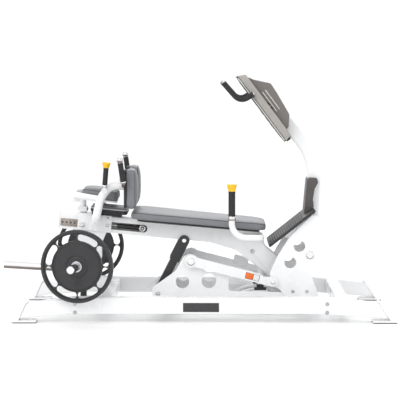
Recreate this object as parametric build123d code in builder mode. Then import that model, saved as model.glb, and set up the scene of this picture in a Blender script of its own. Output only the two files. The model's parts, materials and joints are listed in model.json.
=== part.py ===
from build123d import *
from math import atan2, cos, degrees, hypot, radians, sin
import os

# Plate-loaded leg press: a padded bench is pushed back from a fixed foot plate on a rear rocker
# and two front rollers. Millimetres; +X towards the foot plate, +Z up, floor at Z = 0.
# "near" is the -Y side and "far" the +Y side.

os.makedirs("parts", exist_ok=True)

SIDES = (("near", -1), ("far", 1))

# Base
PAD_THICK = 6
FLANGE_THICK = 10
FLANGE_TOP = PAD_THICK + FLANGE_THICK
RAIL_IN, RAIL_OUT = 406, 481
RAIL_MID = (RAIL_IN + RAIL_OUT) / 2
RAIL_BOTTOM, RAIL_TOP = 55, 157
RAIL_WALL = 4
FLANGE_X = (-1050, 1160)
FLANGE_LENGTH, FLANGE_WIDTH = 150, 104
BOLT_SPACING = 110
BOLT_HOLE_R = 7

# Side plates of the central frame, from the middle outwards
PLATE_IN, PLATE_MID, PLATE_OUT = 160, 170, 180
TIE_IN, TIE_OUT = 182, 206
BOSS = (-30, 343)
TIE_FRONT = (486, 214)
CROSS_AXLE = (718, 382)

# Rocker and track
PIVOT_A = (-239, 138)
PIVOT_B = (-75, 458)
PIN_R = 12
RUN_GAP = 0.05
ROCKER_LENGTH = hypot(PIVOT_B[0] - PIVOT_A[0], PIVOT_B[1] - PIVOT_A[1])
ROCKER_LEAN = degrees(atan2(PIVOT_B[0] - PIVOT_A[0], PIVOT_B[1] - PIVOT_A[1]))
ROLLER_R = 34.7
TRACK_GAP = 0.3
AXLE_C = (573, 155)
TRACK_CENTRE = (
    AXLE_C[0] - ROCKER_LENGTH * sin(radians(ROCKER_LEAN)),
    AXLE_C[1] - ROCKER_LENGTH * cos(radians(ROCKER_LEAN)),
)
TRACK_R = ROCKER_LENGTH - ROLLER_R - TRACK_GAP
TRACK_IN, TRACK_OUT = 62, 106

# Bench beam, drawn along its own slope
BEAM_SLOPE = 5.35
BEAM_ORIGIN = (-109, 464.5)
BEAM_HEIGHT = 105
BEAM_HALF = 50
GUSSET = 10
HORN_AXIS = (-717, 355)
HORN_R = 24
HORN_SPLAY = 8
PLATE_Y = 524
DISC_R = 224
DISC_BORE = HORN_R + 1

GRIP_R = 17


def save(part, name):
    part.label = name
    export_step(part, f"parts/{name}.step")


def side_plane(y):
    """Vertical plane at Y = y whose local x, y are world X, Z; it extrudes towards -Y."""
    return Plane.XZ.offset(-y)


def beam_point(u, v):
    """World X, Z of a point u along the beam and v above its underside."""
    slope = radians(BEAM_SLOPE)
    x = BEAM_ORIGIN[0] + u * cos(slope) + v * sin(slope)
    z = BEAM_ORIGIN[1] - u * sin(slope) + v * cos(slope)
    return (x, z)


def beam_plane(u, v):
    """Plane lying on the beam at height v, local x along the beam towards the foot plate."""
    x, z = beam_point(u, v)
    slope = radians(BEAM_SLOPE)
    return Plane(
        origin=(x, 0, z),
        x_dir=(cos(slope), 0, -sin(slope)),
        z_dir=(sin(slope), 0, cos(slope)),
    )


def flat_part(outline, y_low, y_high, corner=0, holes=(), edge=0):
    """A flat plate standing in the XZ plane with round holes (x, z, radius) through it."""
    with BuildPart() as plate:
        with BuildSketch(side_plane(y_high)):
            with BuildLine():
                FilletPolyline(*outline, radius=corner, close=True)
            make_face()
            for x, z, r in holes:
                with Locations((x, z)):
                    Circle(r, mode=Mode.SUBTRACT)
        extrude(amount=y_high - y_low)
        if edge:
            faces = plate.faces().filter_by(Axis.Y)
            rims = faces.sort_by(Axis.Y)[0].outer_wire().edges()
            rims += faces.sort_by(Axis.Y)[-1].outer_wire().edges()
            chamfer(rims, edge)
    return plate.part


def mirrored_part(outline, inner, outer, sign, **options):
    """The same plate on the near side (sign -1) or on the far side (sign 1)."""
    low, high = sorted((sign * inner, sign * outer))
    return flat_part(outline, low, high, **options)


def round_bar(start, end, radius, bore=0, edge=0):
    """A straight bar or sleeve between two points."""
    start, end = Vector(*start), Vector(*end)
    along = end - start
    with BuildPart() as bar:
        with BuildSketch(Plane(origin=start, z_dir=along)):
            Circle(radius)
            if bore:
                Circle(bore, mode=Mode.SUBTRACT)
        extrude(amount=along.length)
        if edge:
            ends = bar.edges().filter_by(GeomType.CIRCLE)
            chamfer([e for e in ends if abs(e.radius - radius) < 0.01], edge)
    return bar.part


def cross_pin(point, y_low, y_high, radius, bore=0, edge=0):
    return round_bar((point[0], y_low, point[1]), (point[0], y_high, point[1]), radius, bore, edge)


def bent_tube(points, bend, radius, wall=0):
    """A round tube along straight runs joined by bends."""
    start, second = Vector(*points[0]), Vector(*points[1])
    with BuildPart() as tube:
        with BuildLine() as path:
            FilletPolyline(*points, radius=bend)
        with BuildSketch(Plane(origin=start, z_dir=second - start)):
            Circle(radius)
            if wall:
                Circle(radius - wall, mode=Mode.SUBTRACT)
        sweep(path=path.wire())
    return tube.part


def joined(*parts):
    """Several touching solids as one, or separate identical ones as a group."""
    with BuildPart() as group:
        for part in parts:
            add(part)
    return group.part


def cut(part, *tools):
    with BuildPart() as result:
        add(part)
        for tool in tools:
            add(tool, mode=Mode.SUBTRACT)
    return result.part


def box(x, y, z):
    """A plain box from its X, Y and Z limits."""
    with BuildPart() as block:
        with Locations((sum(x) / 2, sum(y) / 2, sum(z) / 2)):
            Box(x[1] - x[0], y[1] - y[0], z[1] - z[0])
    return block.part


def domed_cap(point, y_face, sign, radius, height):
    """A bearing or bolt cap standing on a side face at Y = y_face."""
    x, z = point
    base = cross_pin(point, *sorted((y_face, y_face + sign * height)), radius)
    with BuildPart() as cap:
        add(base)
        outer = cap.faces().filter_by(Axis.Y).sort_by(Axis.Y)[0 if sign < 0 else -1]
        fillet(outer.edges(), height * 0.55)
    return cap.part


# ---------------------------------------------------------------- base

RAIL_OUTLINE = (
    (-1080, 28),
    (-1036, 118),
    (-754, RAIL_TOP),
    (785, RAIL_TOP),
    (1124, 123),
    (1186, 26),
    (785, RAIL_BOTTOM),
    (-754, RAIL_BOTTOM),
)
RAIL_BORE = (
    (-1100, 28),
    (-1056, 112),
    (-754, RAIL_TOP - RAIL_WALL),
    (785, RAIL_TOP - RAIL_WALL),
    (1144, 116),
    (1206, 28),
    (785, RAIL_BOTTOM + RAIL_WALL),
    (-754, RAIL_BOTTOM + RAIL_WALL),
)


def base_rail(sign):
    outer = mirrored_part(RAIL_OUTLINE, RAIL_IN, RAIL_OUT, sign)
    with BuildPart() as rail:
        add(outer)
        sides = rail.faces().filter_by(Axis.Y)
        fillet(sides.edges(), 9)
        low, high = sorted((sign * (RAIL_IN + RAIL_WALL), sign * (RAIL_OUT - RAIL_WALL)))
        with BuildSketch(side_plane(high)):
            with BuildLine():
                Polyline(*RAIL_BORE, close=True)
            make_face()
        extrude(amount=high - low, mode=Mode.SUBTRACT)
    return rail.part


def end_plates():
    """Slanted plates that close the four rail ends, each with a small lip on top."""
    plates = []
    for _, sign in SIDES:
        left = ((-1095, FLANGE_TOP), (-1084, FLANGE_TOP), (-1036, 122), (-1028, 122), (-1028, 128), (-1044, 128))
        right = ((1204, FLANGE_TOP), (1193, FLANGE_TOP), (1124, 127), (1116, 127), (1116, 133), (1132, 133))
        for outline in (left, right):
            plates.append(mirrored_part(outline, RAIL_IN - 4, RAIL_OUT + 4, sign))
    rails = (base_rail(-1), base_rail(1))
    return cut(joined(*plates), *rails)


def floor_pieces(thick, bottom, inset):
    """Four floor plates with two bolt holes each; the rubber pads below share the outline."""
    with BuildPart() as feet:
        with BuildSketch(Plane.XY.offset(bottom)):
            for x in FLANGE_X:
                for _, sign in SIDES:
                    with Locations((x, sign * RAIL_MID)):
                        RectangleRounded(FLANGE_LENGTH - inset, FLANGE_WIDTH - inset, 8)
                        with Locations((-BOLT_SPACING / 2, 0), (BOLT_SPACING / 2, 0)):
                            Circle(BOLT_HOLE_R, mode=Mode.SUBTRACT)
        extrude(amount=thick)
    return feet.part


def cross_tube(x_middle, width, bottom, top, reach):
    """Rectangular tubes across the base; reach lists the Y limits of each length."""
    lengths = []
    for y_low, y_high in reach:
        with BuildPart() as tube:
            with BuildSketch(side_plane(y_high)):
                with Locations((x_middle, (bottom + top) / 2)):
                    RectangleRounded(width, top - bottom, 6)
                    RectangleRounded(width - 8, top - bottom - 8, 3, mode=Mode.SUBTRACT)
            extrude(amount=y_high - y_low)
        lengths.append(tube.part)
    return joined(*lengths)


OUTER_REACH = ((-RAIL_IN, -PLATE_MID), (-PLATE_IN, PLATE_IN), (PLATE_MID, RAIL_IN))
FRONT_REACH = ((-RAIL_IN, -PLATE_OUT), (-PLATE_IN, PLATE_IN), (PLATE_OUT, RAIL_IN))
WHOLE_REACH = ((-RAIL_IN, RAIL_IN),)
INNER_REACH = ((-PLATE_IN, PLATE_IN),)


def build_base():
    for name, sign in SIDES:
        save(base_rail(sign), f"base_rail_{name}")
    feet = joined(end_plates(), floor_pieces(FLANGE_THICK, PAD_THICK, 0))
    save(feet, "rail_feet")
    save(floor_pieces(PAD_THICK, 0, 4), "rubber_feet")
    rear = cross_tube(-551, 75, 72, 147, WHOLE_REACH)
    bracket = cross_tube(-190, 70, 50, 100, OUTER_REACH)
    front = cross_tube(690, 70, 62, 132, FRONT_REACH)
    nose = cross_tube(905, 80, 66, 142, WHOLE_REACH)
    save(joined(rear, bracket, front, nose), "cross_tubes")


# ---------------------------------------------------------------- central frame

BRACKET_OUTLINE = (
    (-275, 60),
    (-275, 172),
    (-130, 277),
    (-75, 372),
    (-38, 388),
    (4, 372),
    (36, 330),
    (60, 272),
    (168, 268),
    (222, 262),
    (206, 200),
    (206, 150),
    (389, 150),
    (557, 143),
    (726, 122),
    (790, 106),
    (790, 60),
)
BRACKET_CORNERS = (10, 30, 12, 26, 26, 26, 20, 40, 12, 16, 30, 20, 120, 60, 20, 6, 10)
BRACKET_HOLES = ((-84, 209, 42), (83, 214, 46))

UPRIGHT_OUTLINE = (
    (560, 60),
    (560, 118),
    (533, 160),
    (495, 184),
    (464, 259),
    (486, 315),
    (520, 384),
    (589, 497),
    (728, 634),
    (768, 634),
    (768, 580),
    (776, 542),
    (826, 382),
    (777, 340),
    (730, 270),
    (739, 221),
    (758, 170),
    (800, 60),
)
UPRIGHT_CORNERS = (8, 20, 20, 20, 30, 60, 60, 60, 12, 16, 40, 60, 6, 60, 40, 40, 60, 8)
UPRIGHT_HOLES = ((652, 437, 36), (595, 334, 37))

FOOT_LOW = (460, 437)
FOOT_HIGH = (749, 665)
FOOT_HALF_WIDTH = 205
FOOT_STEEL = 8
FOOT_TREAD = 9


def foot_direction():
    run = Vector(FOOT_HIGH[0] - FOOT_LOW[0], 0, FOOT_HIGH[1] - FOOT_LOW[1])
    return run.normalized(), run.length


def foot_plane(height):
    """Plane on the foot plate; local x runs up the slope and the normal faces the user."""
    along, length = foot_direction()
    normal = along.cross(Vector(0, -1, 0)) * -1
    if normal.Z < 0:
        normal = normal * -1
    middle = Vector(FOOT_LOW[0], 0, FOOT_LOW[1]) + along * (length / 2)
    return Plane(origin=middle + normal * height, x_dir=along, z_dir=normal)


def foot_slab(height, thick, inset):
    _, length = foot_direction()
    with BuildPart() as slab:
        with BuildSketch(foot_plane(height)):
            RectangleRounded(length - inset, 2 * FOOT_HALF_WIDTH - inset, 22)
        extrude(amount=thick)
        top = slab.faces().sort_by_distance(foot_plane(height + thick).origin)[0]
        fillet(top.edges(), 2.5)
    return slab.part


def foot_supports():
    """Four angle plates under the foot plate: long ones on the uprights, short ones at the post."""
    along, _ = foot_direction()
    normal = foot_plane(0).z_dir

    def under(distance, drop):
        point = Vector(FOOT_LOW[0], 0, FOOT_LOW[1]) + along * distance - normal * drop
        return (point.X, point.Z)

    top = FOOT_STEEL
    outline = (under(110, top), under(330, top), under(330, 40), under(250, 70), under(150, 70))
    plates = [mirrored_part(outline, PLATE_IN, PLATE_MID, sign, corner=4) for _, sign in SIDES]
    return joined(*plates)


TIE_FRONT_R = 32
TIE_BOSS_R = 40


def tie_bar(sign):
    """Box-section bar from the rear boss to the front ear."""
    outline = ((-30, 376), (60, 352), (400, 265), (440, 240), (440, 192), (400, 205), (40, 296), (-30, 312))
    bar = mirrored_part(outline, TIE_IN, TIE_OUT, sign, corner=(8, 60, 30, 10, 10, 30, 60, 8))
    low, high = sorted((sign * TIE_IN, sign * TIE_OUT))
    rear = cross_pin(BOSS, low, high, TIE_BOSS_R)
    ear_low, ear_high = sorted((sign * (TIE_IN + 2), sign * (TIE_OUT - 6)))
    front = cross_pin(TIE_FRONT, ear_low, ear_high, TIE_FRONT_R)
    neck_outline = ((430, 246), (486, 245), (486, 183), (430, 193))
    neck = mirrored_part(neck_outline, TIE_IN + 2, TIE_OUT - 6, sign)
    whole = joined(bar, rear, front, neck)
    bores = [cross_pin(point, low - 5, high + 5, PIN_R) for point in (BOSS, TIE_FRONT)]
    return cut(whole, *bores)


def frame_caps():
    """Domed covers on the through-axles of the central frame."""
    caps = []
    for _, sign in SIDES:
        caps.append(domed_cap(BOSS, sign * TIE_OUT, sign, 24, 9))
        caps.append(domed_cap(TIE_FRONT, sign * (TIE_OUT - 6), sign, 14, 7))
        caps.append(domed_cap(CROSS_AXLE, sign * PLATE_OUT, sign, 24, 9))
        caps.append(domed_cap(PIVOT_A, sign * PLATE_MID, sign, 15, 8))
    return joined(*caps)


def through_axles():
    """Steel rods behind the caps: boss axle, rocker axle, ear bolts and the upright's cross axle."""
    rods = [cross_pin(BOSS, -TIE_OUT, TIE_OUT, PIN_R)]
    rods.append(cross_pin(CROSS_AXLE, -PLATE_OUT, PLATE_OUT, PIN_R))
    rods.append(cross_pin(PIVOT_A, -PLATE_MID, PLATE_MID, PIN_R))
    for _, sign in SIDES:
        low, high = sorted((sign * PLATE_MID, sign * (TIE_OUT - 6)))
        rods.append(cross_pin(TIE_FRONT, low, high, PIN_R))
    return joined(*rods)


TRACK_SPAN = (-33, 34)
TRACK_FLANGE = 12
TRACK_FLOOR = 82
TRACK_SUPPORT_X = (300, 540)


def roller_track():
    """Two arched rails for the front rollers, each a curved flange on a web."""
    cx, cz = TRACK_CENTRE
    rails = []
    for _, sign in SIDES:
        low, high = sorted((sign * TRACK_IN, sign * TRACK_OUT))
        start, end = (90 - TRACK_SPAN[1], 90 - TRACK_SPAN[0])
        with BuildPart() as rail:
            with BuildSketch(side_plane(high)):
                with BuildLine():
                    outer = CenterArc((cx, cz), TRACK_R, start, end - start)
                    inner = CenterArc((cx, cz), TRACK_R - TRACK_FLANGE, start, end - start)
                    Line(outer @ 0, inner @ 0)
                    Line(outer @ 1, inner @ 1)
                make_face()
            extrude(amount=high - low)
            middle = (low + high) / 2
            with BuildSketch(side_plane(middle + 4)):
                with BuildLine():
                    arc = CenterArc((cx, cz), TRACK_R - 6, start, end - start)
                    Polyline(arc @ 0, ((arc @ 0).X, TRACK_FLOOR), ((arc @ 1).X, TRACK_FLOOR), arc @ 1)
                make_face()
            extrude(amount=8)
        rails.append(rail.part)
    return joined(*rails)


BUMPER_FLOOR = 154
BUMPER_TOP = 193


def bumper_shelves():
    """Small ledges inside the side plates that carry the rubber bumpers."""
    shelves = []
    for _, sign in SIDES:
        shelves.append(box((362, 454), sorted((sign * 110, sign * PLATE_IN)), (BUMPER_FLOOR - 10, BUMPER_FLOOR)))
    return joined(*shelves)


def bumpers():
    """Rubber buffers that the bench rests on."""
    buffers = []
    for _, sign in SIDES:
        with BuildPart() as buffer:
            with BuildSketch(Plane.XY.offset(BUMPER_FLOOR)):
                with Locations((407, sign * 134)):
                    RectangleRounded(76, 46, 8)
            extrude(amount=14)
            with BuildSketch(Plane.XY.offset(BUMPER_FLOOR + 14)):
                with Locations((407, sign * 134)):
                    Circle(22)
            extrude(amount=BUMPER_TOP - BUMPER_FLOOR - 14, taper=-3)
            top = buffer.faces().sort_by(Axis.Z)[-1]
            fillet(top.edges(), 5)
        buffers.append(buffer.part)
    return joined(*buffers)


def build_frame():
    for name, sign in SIDES:
        low, high = sorted((sign * (PLATE_IN - 1), sign * (PLATE_OUT + 1)))
        axle_holes = ((*BOSS, PIN_R), (*PIVOT_A, PIN_R))
        bracket = mirrored_part(
            BRACKET_OUTLINE,
            PLATE_IN,
            PLATE_MID,
            sign,
            corner=BRACKET_CORNERS,
            holes=BRACKET_HOLES + axle_holes,
            edge=1.2,
        )
        save(bracket, f"rear_bracket_{name}")
        upright = mirrored_part(
            UPRIGHT_OUTLINE,
            PLATE_MID,
            PLATE_OUT,
            sign,
            corner=UPRIGHT_CORNERS,
            holes=UPRIGHT_HOLES + ((*CROSS_AXLE, PIN_R),),
            edge=1.2,
        )
        front_bolt = cross_pin(TIE_FRONT, low, high, PIN_R)
        save(cut(upright, front_bolt), f"upright_plate_{name}")
        save(tie_bar(sign), f"tie_bar_{name}")
    save(joined(through_axles(), frame_caps(), spacer_rings()), "through_axles")
    save(roller_track(), "roller_track")
    supports = [cross_tube(x, 50, 42, TRACK_FLOOR, INNER_REACH) for x in TRACK_SUPPORT_X]
    save(joined(*supports, bumper_shelves()), "track_supports")
    save(bumpers(), "rubber_bumpers")


def spacer_rings():
    """Short spacer rings between the side plates and the tie bars at the bosses."""
    rings = []
    for _, sign in SIDES:
        low, high = sorted((sign * PLATE_MID, sign * TIE_IN))
        rings.append(cross_pin(BOSS, low, high, 30, PIN_R))
        low, high = sorted((sign * PLATE_OUT, sign * (TIE_IN + 2)))
        rings.append(cross_pin(TIE_FRONT, low, high, 26, PIN_R))
    return joined(*rings)


# ---------------------------------------------------------------- post and console

POST_PATH = ((735, 520), (764, 990), (505, 1287))
POST_BEND = 380
POST_DEPTH, POST_HALF_WIDTH, POST_WALL = 88, 38, 4
CONSOLE_TOP = (252, 1496)
CONSOLE_FOOT = (555, 1093)
CONSOLE_LENGTH = hypot(CONSOLE_FOOT[0] - CONSOLE_TOP[0], CONSOLE_FOOT[1] - CONSOLE_TOP[1])
CONSOLE_HALF_WIDTH = 192
FACE_THICK = 12
TRAY_DEPTH = 46
HANDLE_Y = 226
HANDLE_CORE_R = 12
HANDLE_BEND = 60


def console_plane(depth):
    """Plane parallel to the console face, depth mm behind it; local x runs down the face."""
    run = Vector(CONSOLE_FOOT[0] - CONSOLE_TOP[0], 0, CONSOLE_FOOT[1] - CONSOLE_TOP[1])
    along = run.normalized()
    back = Vector(-along.Z, 0, along.X)
    middle = Vector(CONSOLE_TOP[0], 0, CONSOLE_TOP[1]) + run * 0.5
    return Plane(origin=middle + back * depth, x_dir=along, z_dir=back)


def console_point(along, depth):
    plane = console_plane(depth)
    point = plane.origin + plane.x_dir * along
    return (point.X, point.Z)


def post(hollow=True):
    """Bent rectangular tube from the upright plates up to the console."""
    points = [(x, 0, z) for x, z in POST_PATH]
    start = Vector(*points[0])
    with BuildPart() as tube:
        with BuildLine() as path:
            FilletPolyline(*points, radius=POST_BEND)
        with BuildSketch(Plane(origin=start, x_dir=(0, 1, 0), z_dir=Vector(*points[1]) - start)):
            RectangleRounded(2 * POST_HALF_WIDTH, POST_DEPTH, 14)
            if hollow:
                inner = (2 * POST_HALF_WIDTH - 2 * POST_WALL, POST_DEPTH - 2 * POST_WALL)
                RectangleRounded(*inner, 10, mode=Mode.SUBTRACT)
        sweep(path=path.wire())
    return tube.part


SHROUD_OUTLINE = ((704, 862), (684, 630), (754, 630), (741, 725), (752, 790), (774, 830), (768, 858))
SHROUD_HALF_WIDTH = 84


def shroud():
    """Dark cover wrapped round the user's side of the post."""
    corners = (22, 10, 4, 30, 30, 8, 10)
    body = flat_part(SHROUD_OUTLINE, -SHROUD_HALF_WIDTH, SHROUD_HALF_WIDTH, corners)
    with BuildPart() as cover:
        add(body)
        fillet(cover.faces().filter_by(Axis.Y).edges(), 5)
        half = SHROUD_HALF_WIDTH - 4
        with BuildSketch(side_plane(half)):
            with BuildLine():
                Polyline((709, 856), (690, 622), (800, 622), (800, 856), close=True)
            make_face()
        extrude(amount=2 * half, mode=Mode.SUBTRACT)
    return cut(cover.part, post(hollow=False), foot_slab(-FOOT_STEEL - 1, FOOT_STEEL + FOOT_TREAD + 2, -10))


def post_shelf():
    """Box between the upright plates that the post stands on."""
    return box((690, 785), (-PLATE_MID, PLATE_MID), (470, 520))


def console_slab(depth, thick, start, end, half_width, corner):
    """A slab behind the console face between start and end, measured down from the middle."""
    with BuildPart() as slab:
        with BuildSketch(console_plane(depth)):
            with Locations(((start + end) / 2, 0)):
                RectangleRounded(end - start, 2 * half_width, corner)
        extrude(amount=thick)
    return slab.part


def console_face():
    half = CONSOLE_LENGTH / 2
    slab = console_slab(0, FACE_THICK, -half, half, CONSOLE_HALF_WIDTH, 20)
    with BuildPart() as face:
        add(slab)
        rim = face.faces().sort_by_distance(console_plane(0).origin)[0]
        fillet(rim.edges(), 4)
    return face.part


def console_frame():
    """Grey tray behind the face, open to the back where the housing sits."""
    half = CONSOLE_LENGTH / 2
    back = FACE_THICK + TRAY_DEPTH
    corners = ((-half, FACE_THICK), (-half + 22, back), (half - 14, back), (half, FACE_THICK))
    side = [console_point(*corner) for corner in corners]
    tray = flat_part(side, -CONSOLE_HALF_WIDTH, CONSOLE_HALF_WIDTH, (2, 8, 8, 2))
    pocket = console_slab(FACE_THICK + 8, 60, -half + 34, half - 26, CONSOLE_HALF_WIDTH - 14, 12)
    with BuildPart() as frame:
        add(tray)
        fillet(frame.faces().filter_by(Axis.Y).edges(), 5)
        add(pocket, mode=Mode.SUBTRACT)
    return cut(frame.part, post(hollow=False))


HOUSING_SIDE = (
    (-208, FACE_THICK + 8),
    (-206, 62),
    (-172, 80),
    (-92, 150),
    (-20, 146),
    (134, 128),
    (192, 80),
    (212, FACE_THICK + 8),
)
HOUSING_CORNERS = (6, 14, 40, 16, 40, 26, 16, 6)


def console_housing():
    """Rounded rear cover of the console, cut out where the post enters it."""
    outline = [console_point(along, depth) for along, depth in HOUSING_SIDE]
    body = flat_part(outline, -150, 150, HOUSING_CORNERS)
    with BuildPart() as housing:
        add(body)
        fillet(housing.faces().filter_by(Axis.Y).edges(), 5)
    return cut(housing.part, post(hollow=False))


def handle_points(sign):
    y = sign * HANDLE_Y
    inner = sign * CONSOLE_HALF_WIDTH
    return ((171, y, 1463), (277, y, 1343), (358, y, 1392), (358, inner, 1392))


def console_handles():
    """Steel cores of the two hand bars, each with a disc that closes its grip."""
    bars = []
    for _, sign in SIDES:
        points = handle_points(sign)
        start, second = Vector(*points[0]), Vector(*points[1])
        tip = start + (start - second).normalized() * 9
        disc = round_bar(tip, start, GRIP_R, edge=3)
        bars.append(joined(bent_tube(points, (HANDLE_BEND, 22), HANDLE_CORE_R), disc))
    return joined(*bars)


def handle_grips():
    """Foam sleeves on the hand bars."""
    sleeves = [bent_tube(handle_points(sign)[:3], HANDLE_BEND, GRIP_R) for _, sign in SIDES]
    return cut(joined(*sleeves), console_handles())


def build_console():
    save(post(), "post")
    shelf = cut(post_shelf(), post(hollow=False))
    save(joined(foot_supports(), shelf), "upright_braces")
    save(shroud(), "post_shroud")
    block = post(hollow=False)
    save(cut(foot_slab(-FOOT_STEEL, FOOT_STEEL, 0), block), "foot_plate")
    save(cut(foot_slab(0, FOOT_TREAD, 4), block), "foot_plate_tread")
    save(console_face(), "console_face")
    save(console_frame(), "console_frame")
    save(console_housing(), "console_housing")
    save(console_handles(), "console_handles")
    save(handle_grips(), "handle_grips")


# ---------------------------------------------------------------- rocker

EAR_LENGTH = 112
EAR_R = 34
LINK_HALF = 25
EAR_IN, EAR_OUT = 52, 64


def link_point(along, across):
    """World X, Z from the lower pivot, along the rocker and across it."""
    lean = radians(ROCKER_LEAN)
    x = PIVOT_A[0] + along * sin(lean) + across * cos(lean)
    z = PIVOT_A[1] + along * cos(lean) - across * sin(lean)
    return (x, z)


def rocker_link():
    """Rectangular link with a cross sleeve at the bottom and two fork ears at the top."""
    step = ROCKER_LENGTH - EAR_LENGTH
    ends = ((0, -LINK_HALF), (0, LINK_HALF), (step, LINK_HALF), (step, -LINK_HALF))
    tube = flat_part([link_point(*end) for end in ends], -EAR_OUT, EAR_OUT)
    bore = [(20, -LINK_HALF + 5), (20, LINK_HALF - 5), (step + 9, LINK_HALF - 5), (step + 9, -LINK_HALF + 5)]
    hollow = flat_part([link_point(*end) for end in bore], -EAR_OUT + 5, EAR_OUT - 5)
    sleeve = cross_pin(PIVOT_A, -150, 150, 24)
    foot = cross_pin(PIVOT_A, -EAR_OUT, EAR_OUT, LINK_HALF)
    ears = []
    for _, sign in SIDES:
        low, high = sorted((sign * EAR_IN, sign * EAR_OUT))
        sides = ((step - 30, -EAR_R), (step - 30, EAR_R), (ROCKER_LENGTH, EAR_R), (ROCKER_LENGTH, -EAR_R))
        ears.append(flat_part([link_point(*side) for side in sides], low, high))
        ears.append(cross_pin(PIVOT_B, low, high, EAR_R))
    lower_bore = cross_pin(PIVOT_A, -200, 200, PIN_R + RUN_GAP)
    upper_bore = cross_pin(PIVOT_B, -200, 200, PIN_R)
    return cut(joined(tube, foot, sleeve, *ears), hollow, lower_bore, upper_bore)


def bench_pivot_pin():
    """Headed pin through the fork ears."""
    shank = cross_pin(PIVOT_B, -EAR_OUT, EAR_OUT, PIN_R)
    heads = [domed_cap(PIVOT_B, sign * EAR_OUT, sign, 15, 8) for _, sign in SIDES]
    return joined(shank, *heads)


def build_rocker():
    save(rocker_link(), "rocker_link")
    save(bench_pivot_pin(), "bench_pivot_pin")


# ---------------------------------------------------------------- bench

BEAM_LEFT = -768
BEAM_WALL = 5
SLEEVE_R = 20
SLOT_V = 47
SLOT_R = 24
SLOT_END = -230
SLOT_START = -580
NOSE_LOWER = ((253, 397), (383, 295), (497, 212))
NOSE_UPPER = ((552, 296), (462, 368), (428, 470), (404, 521))


def beam_outline():
    lower = (beam_point(BEAM_LEFT, 0), beam_point(196, 0))
    return (*lower, *NOSE_LOWER, *NOSE_UPPER, beam_point(BEAM_LEFT, BEAM_HEIGHT))


BEAM_CORNERS = (4, 60, 60, 60, 6, 10, 30, 60, 20, 4)


def slot_outline_part(radius, depth):
    """Long slot in the near wall of the beam, rounded at its front end."""
    low, high = -BEAM_HALF - 2, -BEAM_HALF + depth
    corners = ((SLOT_START, -radius), (SLOT_END, -radius), (SLOT_END, radius), (SLOT_START, radius))
    outline = [beam_point(u, SLOT_V + v) for u, v in corners]
    return joined(flat_part(outline, low, high), cross_pin(beam_point(SLOT_END, SLOT_V), low, high, radius))


def bench_beam():
    """Hollow beam that carries the seat and curves down to the front rollers."""
    with BuildPart() as beam:
        with BuildSketch(side_plane(BEAM_HALF)):
            with BuildLine():
                FilletPolyline(*beam_outline(), radius=BEAM_CORNERS, close=True)
            make_face()
        extrude(amount=2 * BEAM_HALF)
        fillet(beam.faces().filter_by(Axis.Y).edges(), 5)
        half = BEAM_HALF - BEAM_WALL
        with BuildSketch(side_plane(half)):
            with BuildLine():
                FilletPolyline(*beam_outline(), radius=BEAM_CORNERS, close=True)
            make_face()
            offset(amount=-BEAM_WALL, kind=Kind.INTERSECTION, mode=Mode.REPLACE)
        extrude(amount=2 * half, mode=Mode.SUBTRACT)
        corners = ((BEAM_LEFT - 5, 8), (BEAM_LEFT + 20, 8), (BEAM_LEFT + 20, 97), (BEAM_LEFT - 5, 97))
        mouth = flat_part([beam_point(*corner) for corner in corners], -40, 40)
        add(mouth, mode=Mode.SUBTRACT)
        add(slot_outline_part(SLOT_R, BEAM_WALL + 1), mode=Mode.SUBTRACT)
        add(cross_pin(PIVOT_B, -BEAM_HALF - 5, BEAM_HALF + 5, SLEEVE_R), mode=Mode.SUBTRACT)
        for hole in range(INDEX_HOLES):
            point = beam_point(INDEX_FIRST + hole * INDEX_PITCH, INDEX_V)
            add(cross_pin(point, -BEAM_HALF - 1, -BEAM_HALF + 8, INDEX_R), mode=Mode.SUBTRACT)
    return beam.part


INDEX_PITCH = 25.4
INDEX_HOLES = 6
INDEX_FIRST = -747
INDEX_V = 43
INDEX_R = 5.6
STRIP_THICK = 4


def index_strip():
    """Hole strip on the near face of the beam for the carriage's locking pin."""
    last = INDEX_FIRST + (INDEX_HOLES - 1) * INDEX_PITCH
    corners = ((INDEX_FIRST - 14, -24), (last + 14, -24), (last + 14, 24), (INDEX_FIRST - 14, 24))
    outline = [beam_point(u, INDEX_V + v) for u, v in corners]
    strip = flat_part(outline, -BEAM_HALF - STRIP_THICK, -BEAM_HALF, corner=5)
    holes = []
    for hole in range(INDEX_HOLES):
        point = beam_point(INDEX_FIRST + hole * INDEX_PITCH, INDEX_V)
        holes.append(cross_pin(point, -BEAM_HALF - 9, -BEAM_HALF + 1, INDEX_R))
    return cut(strip, *holes)


def beam_end_cap():
    """Rounded plastic cap on the rear end of the beam."""
    corners = ((BEAM_LEFT - 12, 0), (BEAM_LEFT, 0), (BEAM_LEFT, BEAM_HEIGHT), (BEAM_LEFT - 12, BEAM_HEIGHT))
    plate = flat_part([beam_point(*corner) for corner in corners], -BEAM_HALF, BEAM_HALF)
    with BuildPart() as cap:
        add(plate)
        outer = cap.faces().sort_by(Axis.X)[0]
        fillet(outer.edges(), 6)
    return cap.part


GUSSET_OUTLINE = (
    (292, 498),
    (428, 498),
    (430, 436),
    (450, 412),
    (545, 335),
    (600, 245),
    (603, 128),
    (545, 128),
    (512, 196),
    (436, 292),
    (392, 350),
    (312, 424),
)
GUSSET_CORNERS = (10, 8, 12, 30, 60, 60, 28, 28, 40, 60, 40, 30)
AXLE_R = 10


def nose_gussets():
    """Side plates that stiffen the nose and carry the roller axle."""
    plates = []
    for _, sign in SIDES:
        plates.append(
            mirrored_part(
                GUSSET_OUTLINE,
                BEAM_HALF,
                BEAM_HALF + GUSSET,
                sign,
                corner=GUSSET_CORNERS,
                holes=((*AXLE_C, AXLE_R), (360, 390, 13)),
                edge=1,
            )
        )
    return joined(*plates)


ROLLER_IN, ROLLER_OUT = 66, 102


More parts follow.
